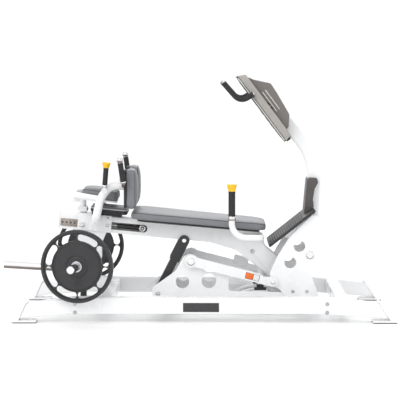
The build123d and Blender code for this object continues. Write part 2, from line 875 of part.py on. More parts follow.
def roller_axle():
    rod = cross_pin(AXLE_C, -ROLLER_OUT - 2, ROLLER_OUT + 2, AXLE_R)
    heads = []
    for _, sign in SIDES:
        heads.append(cross_pin(AXLE_C, *sorted((sign * (ROLLER_OUT + 2), sign * (ROLLER_OUT + 9))), 15))
        heads.append(cross_pin(AXLE_C, *sorted((sign * (BEAM_HALF + GUSSET), sign * (ROLLER_IN - 1))), 14))
    return joined(rod, *heads)


def roller(sign):
    low, high = sorted((sign * ROLLER_IN, sign * ROLLER_OUT))
    wheel = cross_pin(AXLE_C, low, high, ROLLER_R)
    with BuildPart() as tyre:
        add(wheel)
        fillet(tyre.edges().filter_by(GeomType.CIRCLE), 3)
    return cut(tyre.part, cross_pin(AXLE_C, low - 5, high + 5, AXLE_R + RUN_GAP))


def pivot_sleeve():
    return cross_pin(PIVOT_B, -51, 51, SLEEVE_R, PIN_R + RUN_GAP)


STOP_X = (388, 428)
STOP_BOTTOM = 193.3


def stop_bar():
    """Cross bar under the nose that comes down on the rubber bumpers."""
    bar = box(STOP_X, (-156, 156), (STOP_BOTTOM, STOP_BOTTOM + 24))
    slope = (NOSE_LOWER[2][1] - NOSE_LOWER[1][1]) / (NOSE_LOWER[2][0] - NOSE_LOWER[1][0])
    left, right = STOP_X[0] + 8, STOP_X[1] - 8
    tops = [NOSE_LOWER[1][1] + slope * (x - NOSE_LOWER[1][0]) for x in (left, right)]
    base = STOP_BOTTOM + 20
    web = flat_part(((left, base), (right, base), (right, tops[1]), (left, tops[0])), -30, 30)
    return joined(bar, web)


HORN_OUTLINE = (
    (*beam_point(-640, 0),),
    (*beam_point(-466, 0),),
    (-606, 430),
    (-606, 340),
    (-650, 262),
    (-742, 238),
    (-800, 240),
    (-800, 300),
    (-762, 410),
)
HORN_ROOT_Y = 50
HORN_TIP_Y = 700
REAR_HORN_START = (-800, 270)
REAR_HORN_TIP = (-1234, 296)


def horn_bracket():
    """Hanger under the beam: two plates, a rear wall and a spacer that hold the weight horns."""
    plates = []
    for _, sign in SIDES:
        plates.append(mirrored_part(HORN_OUTLINE, 38, BEAM_HALF, sign, corner=(2, 2, 40, 30, 30, 20, 6, 20, 60)))
    wall = flat_part(((-800, 240), (-786, 240), (-786, 298), (-800, 298)), -38.5, 38.5)
    roof = flat_part([beam_point(u, v) for u, v in ((-640, -8), (-470, -8), (-470, 0), (-640, 0))], -38.5, 38.5)
    return joined(*plates, wall, roof)


def horn_line(sign):
    """Root and unit direction of a side horn, splayed towards the rear."""
    splay = radians(HORN_SPLAY)
    along = Vector(-sin(splay), sign * cos(splay), 0)
    disc = Vector(HORN_AXIS[0], sign * PLATE_Y, HORN_AXIS[1])
    root = disc - along * ((PLATE_Y - HORN_ROOT_Y) / cos(splay))
    return root, along, disc


COLLAR_R = 44
COLLAR_THICK = 9
DISC_HUB_HALF = 19
SEAT_R = HORN_R + 0.6
ROOT_SLEEVE = 40


def weight_horns():
    """Chrome storage horns: two loaded side horns and one at the rear."""
    horns = []
    for _, sign in SIDES:
        root, along, disc = horn_line(sign)
        tip = root + along * ((HORN_TIP_Y - HORN_ROOT_Y) / cos(radians(HORN_SPLAY)))
        start = root - along * 14
        step = disc + along * (DISC_HUB_HALF + 2)
        bar = joined(round_bar(start, step, SEAT_R), round_bar(step, tip, HORN_R, edge=3))
        seat = disc - along * (DISC_HUB_HALF + 0.5)
        collar = round_bar(seat - along * COLLAR_THICK, seat, COLLAR_R, edge=2)
        inner = box((-900, 0), (-BEAM_HALF, BEAM_HALF), (200, 500))
        horns.append(cut(joined(bar, collar), inner))
    start = (REAR_HORN_START[0], 0, REAR_HORN_START[1])
    tip = (REAR_HORN_TIP[0], 0, REAR_HORN_TIP[1])
    along = (Vector(*tip) - Vector(*start)).normalized()
    step = Vector(*start) + along * ROOT_SLEEVE
    rear = joined(round_bar(Vector(*start) - along * 14, step, 31, edge=2), round_bar(step, tip, HORN_R, edge=3))
    wall = box((-800, -700), (-60, 60), (200, 400))
    horns.append(cut(rear, wall))
    return joined(*horns)


WINDOW_COUNT = 8
WINDOW_R = (157, 198)
WINDOW_HALF_ANGLE = 15


def weight_disc(sign):
    """Weight disc with a thick rim, a flat hub and oblong grip windows."""
    _, along, centre = horn_line(sign)
    profile = (
        (DISC_BORE, -DISC_HUB_HALF),
        (52, -DISC_HUB_HALF),
        (60, -13),
        (146, -13),
        (152, -8),
        (200, -8),
        (207, -17),
        (DISC_R - 4, -17),
        (DISC_R, -13),
        (DISC_R, 13),
        (DISC_R - 4, 17),
        (207, 17),
        (200, 8),
        (152, 8),
        (146, 13),
        (60, 13),
        (52, DISC_HUB_HALF),
        (DISC_BORE, DISC_HUB_HALF),
    )
    with BuildPart() as disc:
        with BuildSketch(Plane.XZ):
            with BuildLine():
                Polyline(*profile, close=True)
            make_face()
        revolve(axis=Axis.Z)
        middle = sum(WINDOW_R) / 2
        width = WINDOW_R[1] - WINDOW_R[0]
        with BuildSketch(Plane.XY.offset(-30)):
            with PolarLocations(0, WINDOW_COUNT, start_angle=180 / WINDOW_COUNT):
                with BuildLine():
                    arc = CenterArc((0, 0), middle, -WINDOW_HALF_ANGLE, 2 * WINDOW_HALF_ANGLE)
                SlotArc(arc, width)
        extrude(amount=60, mode=Mode.SUBTRACT)
    place = Plane(origin=centre, x_dir=(0, 0, 1), z_dir=along)
    return place.location * disc.part


SEAT_U = (-319, 547)
SEAT_BOARD = 13
SEAT_THICK = 58
SEAT_HALF = (232, 184)


def tapered_slab(u_range, halves, bottom, thick, corner, half_extra=0):
    """A slab on the beam that is wider at its rear end than at its front end."""
    middle = sum(u_range) / 2
    length = (u_range[1] - u_range[0]) / 2
    rear, front = halves[0] + half_extra, halves[1] + half_extra
    with BuildPart() as slab:
        with BuildSketch(beam_plane(middle, bottom)):
            with BuildLine():
                corners = ((-length, -rear), (length, -front), (length, front), (-length, rear))
                FilletPolyline(*corners, radius=corner, close=True)
            make_face()
        extrude(amount=thick)
    return slab.part


def gas_cylinder():
    """Sealed spring cylinder inside the beam that balances the carriage."""
    start, end = beam_point(-400, SLOT_V), beam_point(-244, SLOT_V)
    body = round_bar((start[0], -20, start[1]), (end[0], -20, end[1]), 14, ROD_R + RUN_GAP)
    plug_start = beam_point(-254, SLOT_V)
    plug = round_bar((plug_start[0], -20, plug_start[1]), (end[0], -20, end[1]), 13)
    eye = cross_pin(beam_point(SLOT_END, SLOT_V), -46, -6, 16)
    bolt = cross_pin(beam_point(SLOT_END, SLOT_V), -52, -44, 8)
    seat = cross_pin(beam_point(SLOT_END, SLOT_V), -6, BEAM_HALF - BEAM_WALL, 9)
    return joined(body, plug, eye, bolt, seat)


ROD_R = 5


def build_bench():
    save(joined(bench_beam(), pivot_sleeve()), "bench_beam")
    save(beam_end_cap(), "beam_end_cap")
    save(index_strip(), "index_strip")
    save(joined(nose_gussets(), lever_pivot()), "nose_gussets")
    save(roller_axle(), "roller_axle")
    for name, sign in SIDES:
        save(roller(sign), f"track_roller_{name}")
        save(weight_disc(sign), f"weight_disc_{name}")
    save(stop_bar(), "stop_bar")
    save(horn_bracket(), "horn_bracket")
    save(weight_horns(), "weight_horns")
    board = tapered_slab((-270, 500), (190, 150), BEAM_HEIGHT, SEAT_BOARD, 40)
    save(board, "seat_board")
    pad = tapered_slab(SEAT_U, SEAT_HALF, BEAM_HEIGHT + SEAT_BOARD, SEAT_THICK, 60)
    save(pad, "seat_pad")
    save(gas_cylinder(), "gas_cylinder")


# ---------------------------------------------------------------- levers

RIGHT_LEVER_Y = -280
RIGHT_LEVER_X = 225
RIGHT_HUB = (410, 482)
RIGHT_TUBE_R = 19
RIGHT_GRIP = (637, 792)
RIGHT_CAP_TOP = 838


def flared_cap(base, along, radius, height):
    """Flared round cap on the end of a lever grip."""
    with BuildPart() as cap:
        with BuildSketch(Plane.XZ):
            with BuildLine():
                Polyline((0, 0), (radius * 0.72, 0), (radius * 0.78, height * 0.2), (radius, height * 0.72))
                Polyline((radius, height * 0.72), (radius * 0.96, height * 0.9), (radius * 0.8, height), (0, height))
                Line((0, height), (0, 0))
            make_face()
        revolve(axis=Axis.Z)
    return Plane(origin=base, z_dir=along).location * cap.part


def right_lever_tube():
    """Cranked tube from the nose out to the side of the seat and up to the grip."""
    x, y = RIGHT_LEVER_X, RIGHT_LEVER_Y
    points = ((RIGHT_HUB[0], -84, RIGHT_HUB[1]), (RIGHT_HUB[0], y, 500), (x, y, 504), (x, y, RIGHT_GRIP[0] - 2))
    tube = bent_tube(points, (70, 90), RIGHT_TUBE_R)
    core = round_bar((x, y, RIGHT_GRIP[0] - 4), (x, y, RIGHT_GRIP[1]), 13)
    hub = cross_pin(RIGHT_HUB, -88, -62, 24)
    collar = round_bar((x, y, RIGHT_GRIP[0] - 26), (x, y, RIGHT_GRIP[0] - 1), 23, edge=2)
    bore = cross_pin(RIGHT_HUB, -80, -50, 9 + RUN_GAP)
    return cut(joined(tube, core, hub, collar), bore)


def lever_pivot():
    """Stud on the near gusset that the right lever turns on."""
    return cross_pin(RIGHT_HUB, -79, -BEAM_HALF - GUSSET, 9)


LEFT_PIVOT = (-570, 790)
LEFT_LEVER_Y = -223
LEFT_TOP = (-557, 957)
LEFT_GRIP_START = 0.22


def left_lever_line():
    base = Vector(LEFT_PIVOT[0], LEFT_LEVER_Y, LEFT_PIVOT[1])
    top = Vector(LEFT_TOP[0], LEFT_LEVER_Y, LEFT_TOP[1])
    return base, (top - base).normalized(), (top - base).length


def left_lever_post():
    base, along, length = left_lever_line()
    rod = round_bar(base, base + along * (length - 24), 9)
    collar = round_bar(base + along * 24, base + along * (length * LEFT_GRIP_START - 1), 17, edge=2)
    hub = cross_pin(LEFT_PIVOT, LEFT_LEVER_Y - 12, LEFT_LEVER_Y + 12, 19)
    bore = cross_pin(LEFT_PIVOT, LEFT_LEVER_Y - 8, LEFT_LEVER_Y + 40, 8 + RUN_GAP)
    return cut(joined(rod, collar, hub), bore)


def build_levers():
    save(right_lever_tube(), "right_lever_tube")
    x, y = RIGHT_LEVER_X, RIGHT_LEVER_Y
    grip = round_bar((x, y, RIGHT_GRIP[0]), (x, y, RIGHT_GRIP[1]), 21.5, 13, edge=2)
    save(grip, "right_lever_grip")
    cap = flared_cap((x, y, RIGHT_GRIP[1]), (0, 0, 1), 31, RIGHT_CAP_TOP - RIGHT_GRIP[1])
    save(cap, "right_lever_cap")
    save(left_lever_post(), "left_lever_post")
    base, along, length = left_lever_line()
    grip = round_bar(base + along * length * LEFT_GRIP_START, base + along * (length - 24), 16, 9, edge=2)
    save(grip, "left_lever_grip")
    save(flared_cap(base + along * (length - 24), along, 27, 36), "left_lever_cap")


# ---------------------------------------------------------------- carriage

CHEEK_IN, CHEEK_OUT = 56, 62
SADDLE_U = (-645, -436)
SADDLE_TOP = 112
GLIDE_GAP = 0.4
ARM_Y = 170
ARM_R = 26
ARM_BENDS = (40, 150, 90)
ROD_EYE_U = -462
LOCK_PIN_R = 5
PIN_TIP_Y = BEAM_HALF + STRIP_THICK + 0.4


def carriage_saddle():
    """Inverted channel that slides along the beam, with guide ribs inside its cheeks."""
    parts = []
    u0, u1 = SADDLE_U
    for _, sign in SIDES:
        corners = ((u0, 3), (u1, 3), (u1, SADDLE_TOP), (u0, SADDLE_TOP))
        outline = [beam_point(*corner) for corner in corners]
        parts.append(mirrored_part(outline, CHEEK_IN, CHEEK_OUT, sign, corner=5))
        for low, high in ((4, 14), (84, 102)):
            corners = ((u0 + 3, low), (u1 - 3, low), (u1 - 3, high), (u0 + 3, high))
            outline = [beam_point(*corner) for corner in corners]
            parts.append(mirrored_part(outline, BEAM_HALF + GLIDE_GAP, CHEEK_IN, sign))
    corners = ((u0, BEAM_HEIGHT + GLIDE_GAP), (u1, BEAM_HEIGHT + GLIDE_GAP), (u1, SADDLE_TOP), (u0, SADDLE_TOP))
    parts.append(flat_part([beam_point(*corner) for corner in corners], -CHEEK_OUT, CHEEK_OUT))
    corners = ((u0 - 6, SADDLE_TOP - 8), (u0 + 92, SADDLE_TOP - 8), (u0 + 92, 6), (u0 - 6, 6))
    outline = [beam_point(*corner) for corner in corners]
    for _, sign in SIDES:
        parts.append(mirrored_part(outline, CHEEK_OUT, CHEEK_OUT + 5, sign, corner=8))
    pin_hole = cross_pin(beam_point(PIN_HOLE_U, INDEX_V), -90, -52, LOCK_PIN_R + RUN_GAP)
    rod_hole = cross_pin(beam_point(ROD_EYE_U, SLOT_V), -90, -52, 8)
    return cut(joined(*parts), pin_hole, rod_hole)


PIN_HOLE_U = INDEX_FIRST + (INDEX_HOLES - 1) * INDEX_PITCH


def gas_rod():
    """Polished rod of the spring with its cross bolt to the saddle."""
    start, end = beam_point(ROD_EYE_U, SLOT_V), beam_point(-285, SLOT_V)
    rod = round_bar((start[0], -20, start[1]), (end[0], -20, end[1]), ROD_R)
    eye = cross_pin(start, -30, -10, 12)
    bolt = cross_pin(start, -CHEEK_OUT, -10, 8)
    head = domed_cap(start, -CHEEK_OUT, -1, 11, 6)
    return joined(rod, eye, bolt, head)


def lock_pin():
    """Spring plunger with a round knob, drawn back just clear of the index strip's holes."""
    point = beam_point(PIN_HOLE_U, INDEX_V)
    tip = cross_pin(point, -100, -PIN_TIP_Y, LOCK_PIN_R, edge=0.6)
    knob = cross_pin(point, -118, -94, 17, edge=4)
    return joined(tip, knob)


def pin_barrel():
    """Threaded barrel on the saddle that guides the plunger."""
    point = beam_point(PIN_HOLE_U, INDEX_V)
    return cross_pin(point, -80, -CHEEK_OUT - 5, 12, LOCK_PIN_R + RUN_GAP, edge=1)


RING_Z = 763
RING_LEFT = -778
RING_RIGHT = -590
RING_DROP = 31
RING_R = 18
BOSS_FACE_Y = -208


def ring_tube():
    """Tube that wraps round the headrest from arm to arm, and the left lever's boss."""
    points = [
        (RING_RIGHT, -ARM_Y, RING_Z - RING_DROP),
        (RING_LEFT, -ARM_Y, RING_Z),
        (RING_LEFT, ARM_Y, RING_Z),
        (RING_RIGHT, ARM_Y, RING_Z - RING_DROP),
    ]
    ring = bent_tube(points, 96, RING_R)
    boss = cross_pin(LEFT_PIVOT, BOSS_FACE_Y, -ARM_Y, 16)
    stud = cross_pin(LEFT_PIVOT, LEFT_LEVER_Y - 7, BOSS_FACE_Y + 1, 8)
    return cut(joined(ring, boss, stud), shoulder_arms())


def arm_points(sign):
    y = sign * ARM_Y
    return ((-632, sign * CHEEK_OUT, 592), (-632, y, 592), (-600, y, 735), (-538, y, 818), (-450, y, 818))


def shoulder_arms():
    """Thick tubes from the saddle up to the shoulder pads."""
    return joined(*[bent_tube(arm_points(sign), ARM_BENDS, ARM_R) for _, sign in SIDES])


STEM_X = -722
HEAD_SLOPE = 6
HEAD_PAD_MIDDLE = (-611, 722)
HEAD_LENGTH, HEAD_HALF, HEAD_THICK = 240, 112, 66
BOARD_THICK = 10


def head_plane(height):
    slope = radians(HEAD_SLOPE)
    normal = Vector(sin(slope), 0, cos(slope))
    origin = Vector(HEAD_PAD_MIDDLE[0], 0, HEAD_PAD_MIDDLE[1]) + normal * height
    return Plane(origin=origin, x_dir=(cos(slope), 0, -sin(slope)), z_dir=normal)


def slab_on(plane, length, half_width, thick, corner):
    with BuildPart() as slab:
        with BuildSketch(plane):
            RectangleRounded(length, 2 * half_width, corner)
        extrude(amount=thick)
    return slab.part


def headrest_stem():
    """Post from the saddle to the headrest with a clamp block and a board on top."""
    foot = beam_point((STEM_X + 109) / cos(radians(BEAM_SLOPE)) - 10, SADDLE_TOP)
    post_tube = round_bar((STEM_X, 0, foot[1] - 12), (STEM_X, 0, 722), 20)
    clamp = box((STEM_X - 26, STEM_X + 26), (-34, 34), (640, 674))
    board = slab_on(head_plane(-BOARD_THICK), HEAD_LENGTH - 16, HEAD_HALF - 10, BOARD_THICK, 20)
    brace = box((RING_LEFT, STEM_X + 8), (-12, 12), (RING_Z - 62, RING_Z - 38))
    tie = box((RING_LEFT - 6, RING_LEFT + 6), (-12, 12), (RING_Z - 62, RING_Z - RING_R + 4))
    above = slab_on(head_plane(0), 400, 200, 120, 5)
    below = slab_on(beam_plane(-560, 0), 400, 200, SADDLE_TOP, 5)
    return cut(joined(post_tube, clamp, board, brace, tie), above, below, ring_tube())


BACK_U = (-580, -334)
BACK_HALF = 114
BACK_GAP = 14
BACK_THICK = 48


def shoulder_plane(sign, depth):
    """Face of the shoulder pad's board; its normal points at the user's shoulders."""
    return Plane(origin=(-436 + depth, sign * ARM_Y, 800), x_dir=(0, 1, 0), z_dir=(1, 0, 0))


SHOULDER_TALL, SHOULDER_HALF, SHOULDER_THICK = 250, 80, 76


def pad_boards():
    """Backing boards of the shoulder pads."""
    boards = []
    for _, sign in SIDES:
        boards.append(slab_on(shoulder_plane(sign, -12), 2 * SHOULDER_HALF - 10, SHOULDER_TALL / 2 - 6, 12, 14))
    arms = shoulder_arms()
    return cut(joined(*boards), arms)


def handle_line(sign):
    return ((-462, sign * 188, 826), (-445, sign * 300, 826), (-468, sign * 300, 985))


def shoulder_handles():
    """Side handles beside the shoulder pads with ball ends."""
    bars = []
    for _, sign in SIDES:
        points = handle_line(sign)
        bar = bent_tube(points, 26, 12)
        with BuildPart() as ball:
            with Locations(points[2]):
                Sphere(18)
        bars.append(joined(bar, ball.part))
    return cut(joined(*bars), shoulder_arms(), pad_boards())


def shoulder_grips():
    grips = []
    for _, sign in SIDES:
        _, corner, top = handle_line(sign)
        corner, top = Vector(*corner), Vector(*top)
        along = (top - corner).normalized()
        grips.append(round_bar(corner + along * 28, top - along * 14, GRIP_R, 12, edge=2))
    return cut(joined(*grips), shoulder_handles())


def build_carriage():
    save(joined(carriage_saddle(), pin_barrel()), "carriage_saddle")
    save(gas_rod(), "gas_rod")
    save(lock_pin(), "lock_pin")
    save(ring_tube(), "ring_tube")
    save(cut(shoulder_arms(), carriage_saddle()), "shoulder_arms")
    save(headrest_stem(), "headrest_stem")
    save(slab_on(head_plane(0), HEAD_LENGTH, HEAD_HALF, HEAD_THICK, 30), "headrest_pad")
    u0, u1 = BACK_U
    strip = tapered_slab((u0 + 14, SADDLE_U[1] + 60), (90, 90), SADDLE_TOP, BACK_GAP, 8)
    back = tapered_slab(BACK_U, (BACK_HALF, BACK_HALF), SADDLE_TOP + BACK_GAP, BACK_THICK, 30)
    save(back, "back_pad")
    save(joined(pad_boards(), strip), "pad_boards")
    pads = [
        slab_on(shoulder_plane(sign, 0), 2 * SHOULDER_HALF, SHOULDER_TALL / 2, SHOULDER_THICK, 26)
        for _, sign in SIDES
    ]
    save(joined(*pads), "shoulder_pads")
    save(shoulder_handles(), "shoulder_handles")
    save(shoulder_grips(), "shoulder_grips")


build_base()
build_frame()
build_console()
build_rocker()
build_bench()
build_levers()
build_carriage()
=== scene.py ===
import bmesh
import bpy
import json
from math import atan2, cos, pi, radians, sin
from mathutils import Matrix, Vector
from mathutils.bvhtree import BVHTree


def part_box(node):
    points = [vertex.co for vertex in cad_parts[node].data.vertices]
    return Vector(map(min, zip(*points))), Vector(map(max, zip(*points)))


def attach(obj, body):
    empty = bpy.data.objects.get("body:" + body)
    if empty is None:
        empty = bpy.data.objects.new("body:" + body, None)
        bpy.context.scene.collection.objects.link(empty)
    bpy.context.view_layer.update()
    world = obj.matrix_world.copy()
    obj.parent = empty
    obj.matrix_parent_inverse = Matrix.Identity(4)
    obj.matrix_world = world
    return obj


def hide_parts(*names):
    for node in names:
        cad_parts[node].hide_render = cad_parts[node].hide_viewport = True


# Finish of the leg press: materials, sewn pads, grips, fasteners, console and discs.
# Metres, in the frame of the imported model. "near" is the -Y side.

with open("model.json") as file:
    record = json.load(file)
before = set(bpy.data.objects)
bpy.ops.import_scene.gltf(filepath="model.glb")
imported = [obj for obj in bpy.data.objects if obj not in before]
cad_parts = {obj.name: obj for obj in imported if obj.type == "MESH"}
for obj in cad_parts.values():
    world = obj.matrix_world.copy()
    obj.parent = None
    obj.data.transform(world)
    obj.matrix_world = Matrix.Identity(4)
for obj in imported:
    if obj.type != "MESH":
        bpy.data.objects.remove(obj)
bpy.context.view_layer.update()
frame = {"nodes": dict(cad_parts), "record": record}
nodes = frame["nodes"]
SIDES = (("near", -1), ("far", 1))
BEAM_SLOPE = radians(5.35)
HEAD_SLOPE = radians(6)
HORN_SPLAY = radians(8)
SHOULDER_Y = 0.170
HANDLE_Y = 0.300
HAND_BAR_Y = 0.226
RAIL_SIDE = 0.481
LEFT_PIVOT = Vector((-0.570, -0.223, 0.790))
LEFT_TOP = Vector((-0.557, -0.223, 0.957))
RIGHT_GRIP_FOOT = Vector((0.225, -0.280, 0.637))
RIGHT_GRIP_TOP = Vector((0.225, -0.280, 0.792))
DISC_CENTRE = Vector((-0.717, 0, 0.355))
DISC_Y = 0.524
CONSOLE_TOP = Vector((0.252, 0, 1.496))
CONSOLE_FOOT = Vector((0.555, 0, 1.093))


# ---------------------------------------------------------------- materials

def new_material(name):
    mat = bpy.data.materials.new(name)
    mat.use_nodes = True
    tree = mat.node_tree
    return mat, tree, tree.nodes["Principled BSDF"]


def add_node(tree, kind, **inputs):
    node = tree.nodes.new(kind)
    for key, value in inputs.items():
        node.inputs[key.replace("_", " ")].default_value = value
    return node


def object_coords(tree, scale=(1, 1, 1)):
    coords = tree.nodes.new("ShaderNodeTexCoord")
    mapping = tree.nodes.new("ShaderNodeMapping")
    mapping.inputs["Scale"].default_value = scale
    tree.links.new(coords.outputs["Object"], mapping.inputs["Vector"])
    return mapping.outputs["Vector"]


def noise(tree, vector, scale, detail=3.0, rough=0.5):
    node = add_node(tree, "ShaderNodeTexNoise", Scale=scale, Detail=detail, Roughness=rough)
    tree.links.new(vector, node.inputs["Vector"])
    return node.outputs["Fac"]


def mapped(tree, value, low, high, start=0.3, end=0.7):
    node = tree.nodes.new("ShaderNodeMapRange")
    node.inputs["From Min"].default_value = start
    node.inputs["From Max"].default_value = end
    node.inputs["To Min"].default_value = low
    node.inputs["To Max"].default_value = high
    tree.links.new(value, node.inputs["Value"])
    return node.outputs["Result"]


def mixed_colour(tree, factor, first, second):
    ramp = tree.nodes.new("ShaderNodeValToRGB")
    ramp.color_ramp.elements[0].position = 0.35
    ramp.color_ramp.elements[1].position = 0.7
    ramp.color_ramp.elements[0].color = (*first, 1)
    ramp.color_ramp.elements[1].color = (*second, 1)
    tree.links.new(factor, ramp.inputs["Fac"])
    return ramp.outputs["Color"]


def bump(tree, shader, height, strength, distance, chained=None):
    node = add_node(tree, "ShaderNodeBump", Strength=strength, Distance=distance)
    tree.links.new(height, node.inputs["Height"])
    if chained:
        tree.links.new(chained, node.inputs["Normal"])
    tree.links.new(node.outputs["Normal"], shader.inputs["Normal"])
    return node.outputs["Normal"]


def finish_material(name, colour, second, rough, metallic=0.0, coat=0.0, grain=400, depth=0.0002,
                    strength=0.15, stretch=(1, 1, 1), patch=9.0):
    """A solid finish with slow colour and gloss variation and a fine surface grain."""
    mat, tree, shader = new_material(name)
    vector = object_coords(tree, stretch)
    slow = noise(tree, vector, patch, 4)
    fine = noise(tree, vector, grain, 5, 0.6)
    tree.links.new(mixed_colour(tree, slow, colour, second), shader.inputs["Base Color"])
    tree.links.new(mapped(tree, slow, rough[0], rough[1]), shader.inputs["Roughness"])
    shader.inputs["Metallic"].default_value = metallic
    shader.inputs["Coat Weight"].default_value = coat
    shader.inputs["Coat Roughness"].default_value = 0.08
    bump(tree, shader, fine, strength, depth)
    return mat


def grained_vinyl(name, colour, second):
    """Upholstery vinyl: pebbled grain, fine creases and slightly shinier high spots."""
    mat, tree, shader = new_material(name)
    vector = object_coords(tree)
    slow = noise(tree, vector, 5, 5, 0.6)
    cells = tree.nodes.new("ShaderNodeTexVoronoi")
    cells.inputs["Scale"].default_value = 520
    tree.links.new(vector, cells.inputs["Vector"])
    creases = noise(tree, vector, 60, 6, 0.7)
    tree.links.new(mixed_colour(tree, slow, colour, second), shader.inputs["Base Color"])
    tree.links.new(mapped(tree, slow, 0.40, 0.52), shader.inputs["Roughness"])
    shader.inputs["Sheen Weight"].default_value = 0.06
    shader.inputs["Specular IOR Level"].default_value = 0.45
    grain = bump(tree, shader, cells.outputs["Distance"], 0.28, 0.0006)
    bump(tree, shader, creases, 0.22, 0.0012, grain)
    return mat


def brushed_chrome(name, stretch):
    """Polished plate whose base colour holds a painted reflection: pale bands for a room above and a dark
    floor band below, picked by the surface normal.
    """
    mat, tree, shader = new_material(name)
    lines = noise(tree, object_coords(tree, stretch), 260, 4, 0.7)
    smudge = noise(tree, object_coords(tree), 14, 4)
    geometry = tree.nodes.new("ShaderNodeNewGeometry")
    split = tree.nodes.new("ShaderNodeSeparateXYZ")
    tree.links.new(geometry.outputs["Normal"], split.inputs["Vector"])
    ramp = tree.nodes.new("ShaderNodeValToRGB")
    painted_reflection_bands = ramp.color_ramp.elements
    painted_reflection_bands[0].position, painted_reflection_bands[0].color = 0.0, (0.34, 0.30, 0.28, 1)
    painted_reflection_bands[1].position, painted_reflection_bands[1].color = 1.0, (0.80, 0.80, 0.81, 1)
    for position, colour in (
        (0.22, (0.16, 0.13, 0.12, 1)),
        (0.40, (0.30, 0.26, 0.24, 1)),
        (0.50, (0.80, 0.80, 0.80, 1)),
        (0.66, (0.88, 0.88, 0.89, 1)),
        (0.74, (0.36, 0.34, 0.33, 1)),
        (0.80, (0.82, 0.82, 0.83, 1)),
    ):
        painted_reflection_bands.new(position).color = colour
    # painted reflection: the height of the normal picks the band colour
    tree.links.new(mapped(tree, split.outputs["Z"], 0.0, 1.0, -1.0, 1.0), ramp.inputs["Fac"])
    shader.inputs["Metallic"].default_value = 1.0
    tree.links.new(ramp.outputs["Color"], shader.inputs["Base Color"])
    tree.links.new(mapped(tree, smudge, 0.10, 0.20), shader.inputs["Roughness"])
    bump(tree, shader, lines, 0.05, 0.0002)
    return mat


def foam_material(name, colour):
    """Closed-cell foam or rubber with small open pores."""
    mat, tree, shader = new_material(name)
    vector = object_coords(tree)
    pores = tree.nodes.new("ShaderNodeTexVoronoi")
    pores.inputs["Scale"].default_value = 900
    tree.links.new(vector, pores.inputs["Vector"])
    slow = noise(tree, vector, 30, 4)
    lighter = tuple(c * 1.8 for c in colour)
    tree.links.new(mixed_colour(tree, slow, colour, lighter), shader.inputs["Base Color"])
    tree.links.new(mapped(tree, slow, 0.55, 0.75), shader.inputs["Roughness"])
    bump(tree, shader, pores.outputs["Distance"], 0.35, 0.0005)
    return mat


def plain_plastic(name, colour, rough):
    """Moulded plastic with a fine spark-eroded grain."""
    second = tuple(c * 1.15 for c in colour)
    return finish_material(name, colour, second, rough, grain=700, depth=0.0003, strength=0.2)


MATERIALS = {
    "frame_white": finish_material(
        "white_powder_coat", (0.875, 0.88, 0.885), (0.89, 0.893, 0.897), (0.26, 0.32), coat=0.35,
        grain=650, strength=0.10
    ),
    "chrome": brushed_chrome("chrome", (1, 0.05, 1)),
    "dark_cover": plain_plastic("dark_cover", (0.074, 0.067, 0.064), (0.42, 0.55)),
    "rocker_black": finish_material(
        "black_powder_coat", (0.012, 0.012, 0.014), (0.02, 0.02, 0.022), (0.30, 0.42), coat=0.2, grain=600
    ),
    "rubber": foam_material("black_rubber", (0.014, 0.014, 0.014)),
    "grey_vinyl": grained_vinyl("grey_vinyl", (0.175, 0.180, 0.190), (0.205, 0.210, 0.220)),
    "pad_board": plain_plastic("pad_board", (0.022, 0.022, 0.024), (0.50, 0.62)),
    "console_grey": plain_plastic("console_grey", (0.34, 0.32, 0.30), (0.38, 0.50)),
    "console_black": plain_plastic("console_black", (0.030, 0.024, 0.022), (0.28, 0.36)),
    "grip_black": foam_material("grip_foam", (0.010, 0.010, 0.011)),
    "cap_yellow": plain_plastic("yellow_plastic", (0.86, 0.48, 0.012), (0.26, 0.36)),
    "disc_black": finish_material(
        "disc_enamel", (0.016, 0.016, 0.018), (0.026, 0.026, 0.028), (0.34, 0.50), coat=0.1,
        grain=220, depth=0.0008, strength=0.25
    ),
    "black_plastic": plain_plastic("black_plastic", (0.015, 0.015, 0.016), (0.38, 0.5)),
}
ZINC = finish_material(
    "zinc_bolt", (0.50, 0.51, 0.53), (0.62, 0.63, 0.65), (0.22, 0.36), metallic=1.0, grain=500
)
STITCH = foam_material("seam_cord", (0.035, 0.037, 0.040))
ORANGE = plain_plastic("label_orange", (0.80, 0.16, 0.02), (0.35, 0.45))
LABEL_WHITE = plain_plastic("label_white", (0.75, 0.75, 0.74), (0.35, 0.45))
# painted shade: dark vinyl for the shaded lower sides of the upper back cushion
SHADE_VINYL = grained_vinyl("painted_shade_vinyl", (0.016, 0.015, 0.016), (0.024, 0.022, 0.023))
PIPING = plain_plastic("light_piping", (0.55, 0.56, 0.57), (0.35, 0.45))
STRIP_STEEL = finish_material(
    "strip_steel", (0.26, 0.20, 0.17), (0.55, 0.50, 0.46), (0.20, 0.32), metallic=1.0, grain=420,
    stretch=(1, 1, 0.2)
)
BADGE = plain_plastic("badge_dark", (0.035, 0.034, 0.036), (0.25, 0.35))
GLASS = finish_material("display_glass", (0.010, 0.012, 0.014), (0.014, 0.016, 0.018), (0.06, 0.10), coat=0.6)
HOUSING_LIGHT = plain_plastic("housing_trim", (0.62, 0.60, 0.57), (0.30, 0.40))
FOOT_BLACK = plain_plastic("foot_plate_black", (0.026, 0.025, 0.026), (0.42, 0.55))
HOUSING_DARK = plain_plastic("housing_brown", (0.155, 0.140, 0.130), (0.34, 0.46))
OVERRIDES = {
    "index_strip": STRIP_STEEL,
    "foot_plate": FOOT_BLACK,
    "foot_plate_tread": FOOT_BLACK,
    "console_housing": HOUSING_DARK,
}


def paint_frame():
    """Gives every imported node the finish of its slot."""
    for part in frame["record"]["subparts"]:
        node = nodes[part["node"]]
        node.data.materials.clear()
        node.data.materials.append(OVERRIDES.get(part["node"], MATERIALS[part["material_slot"]]))


# ---------------------------------------------------------------- mesh helpers

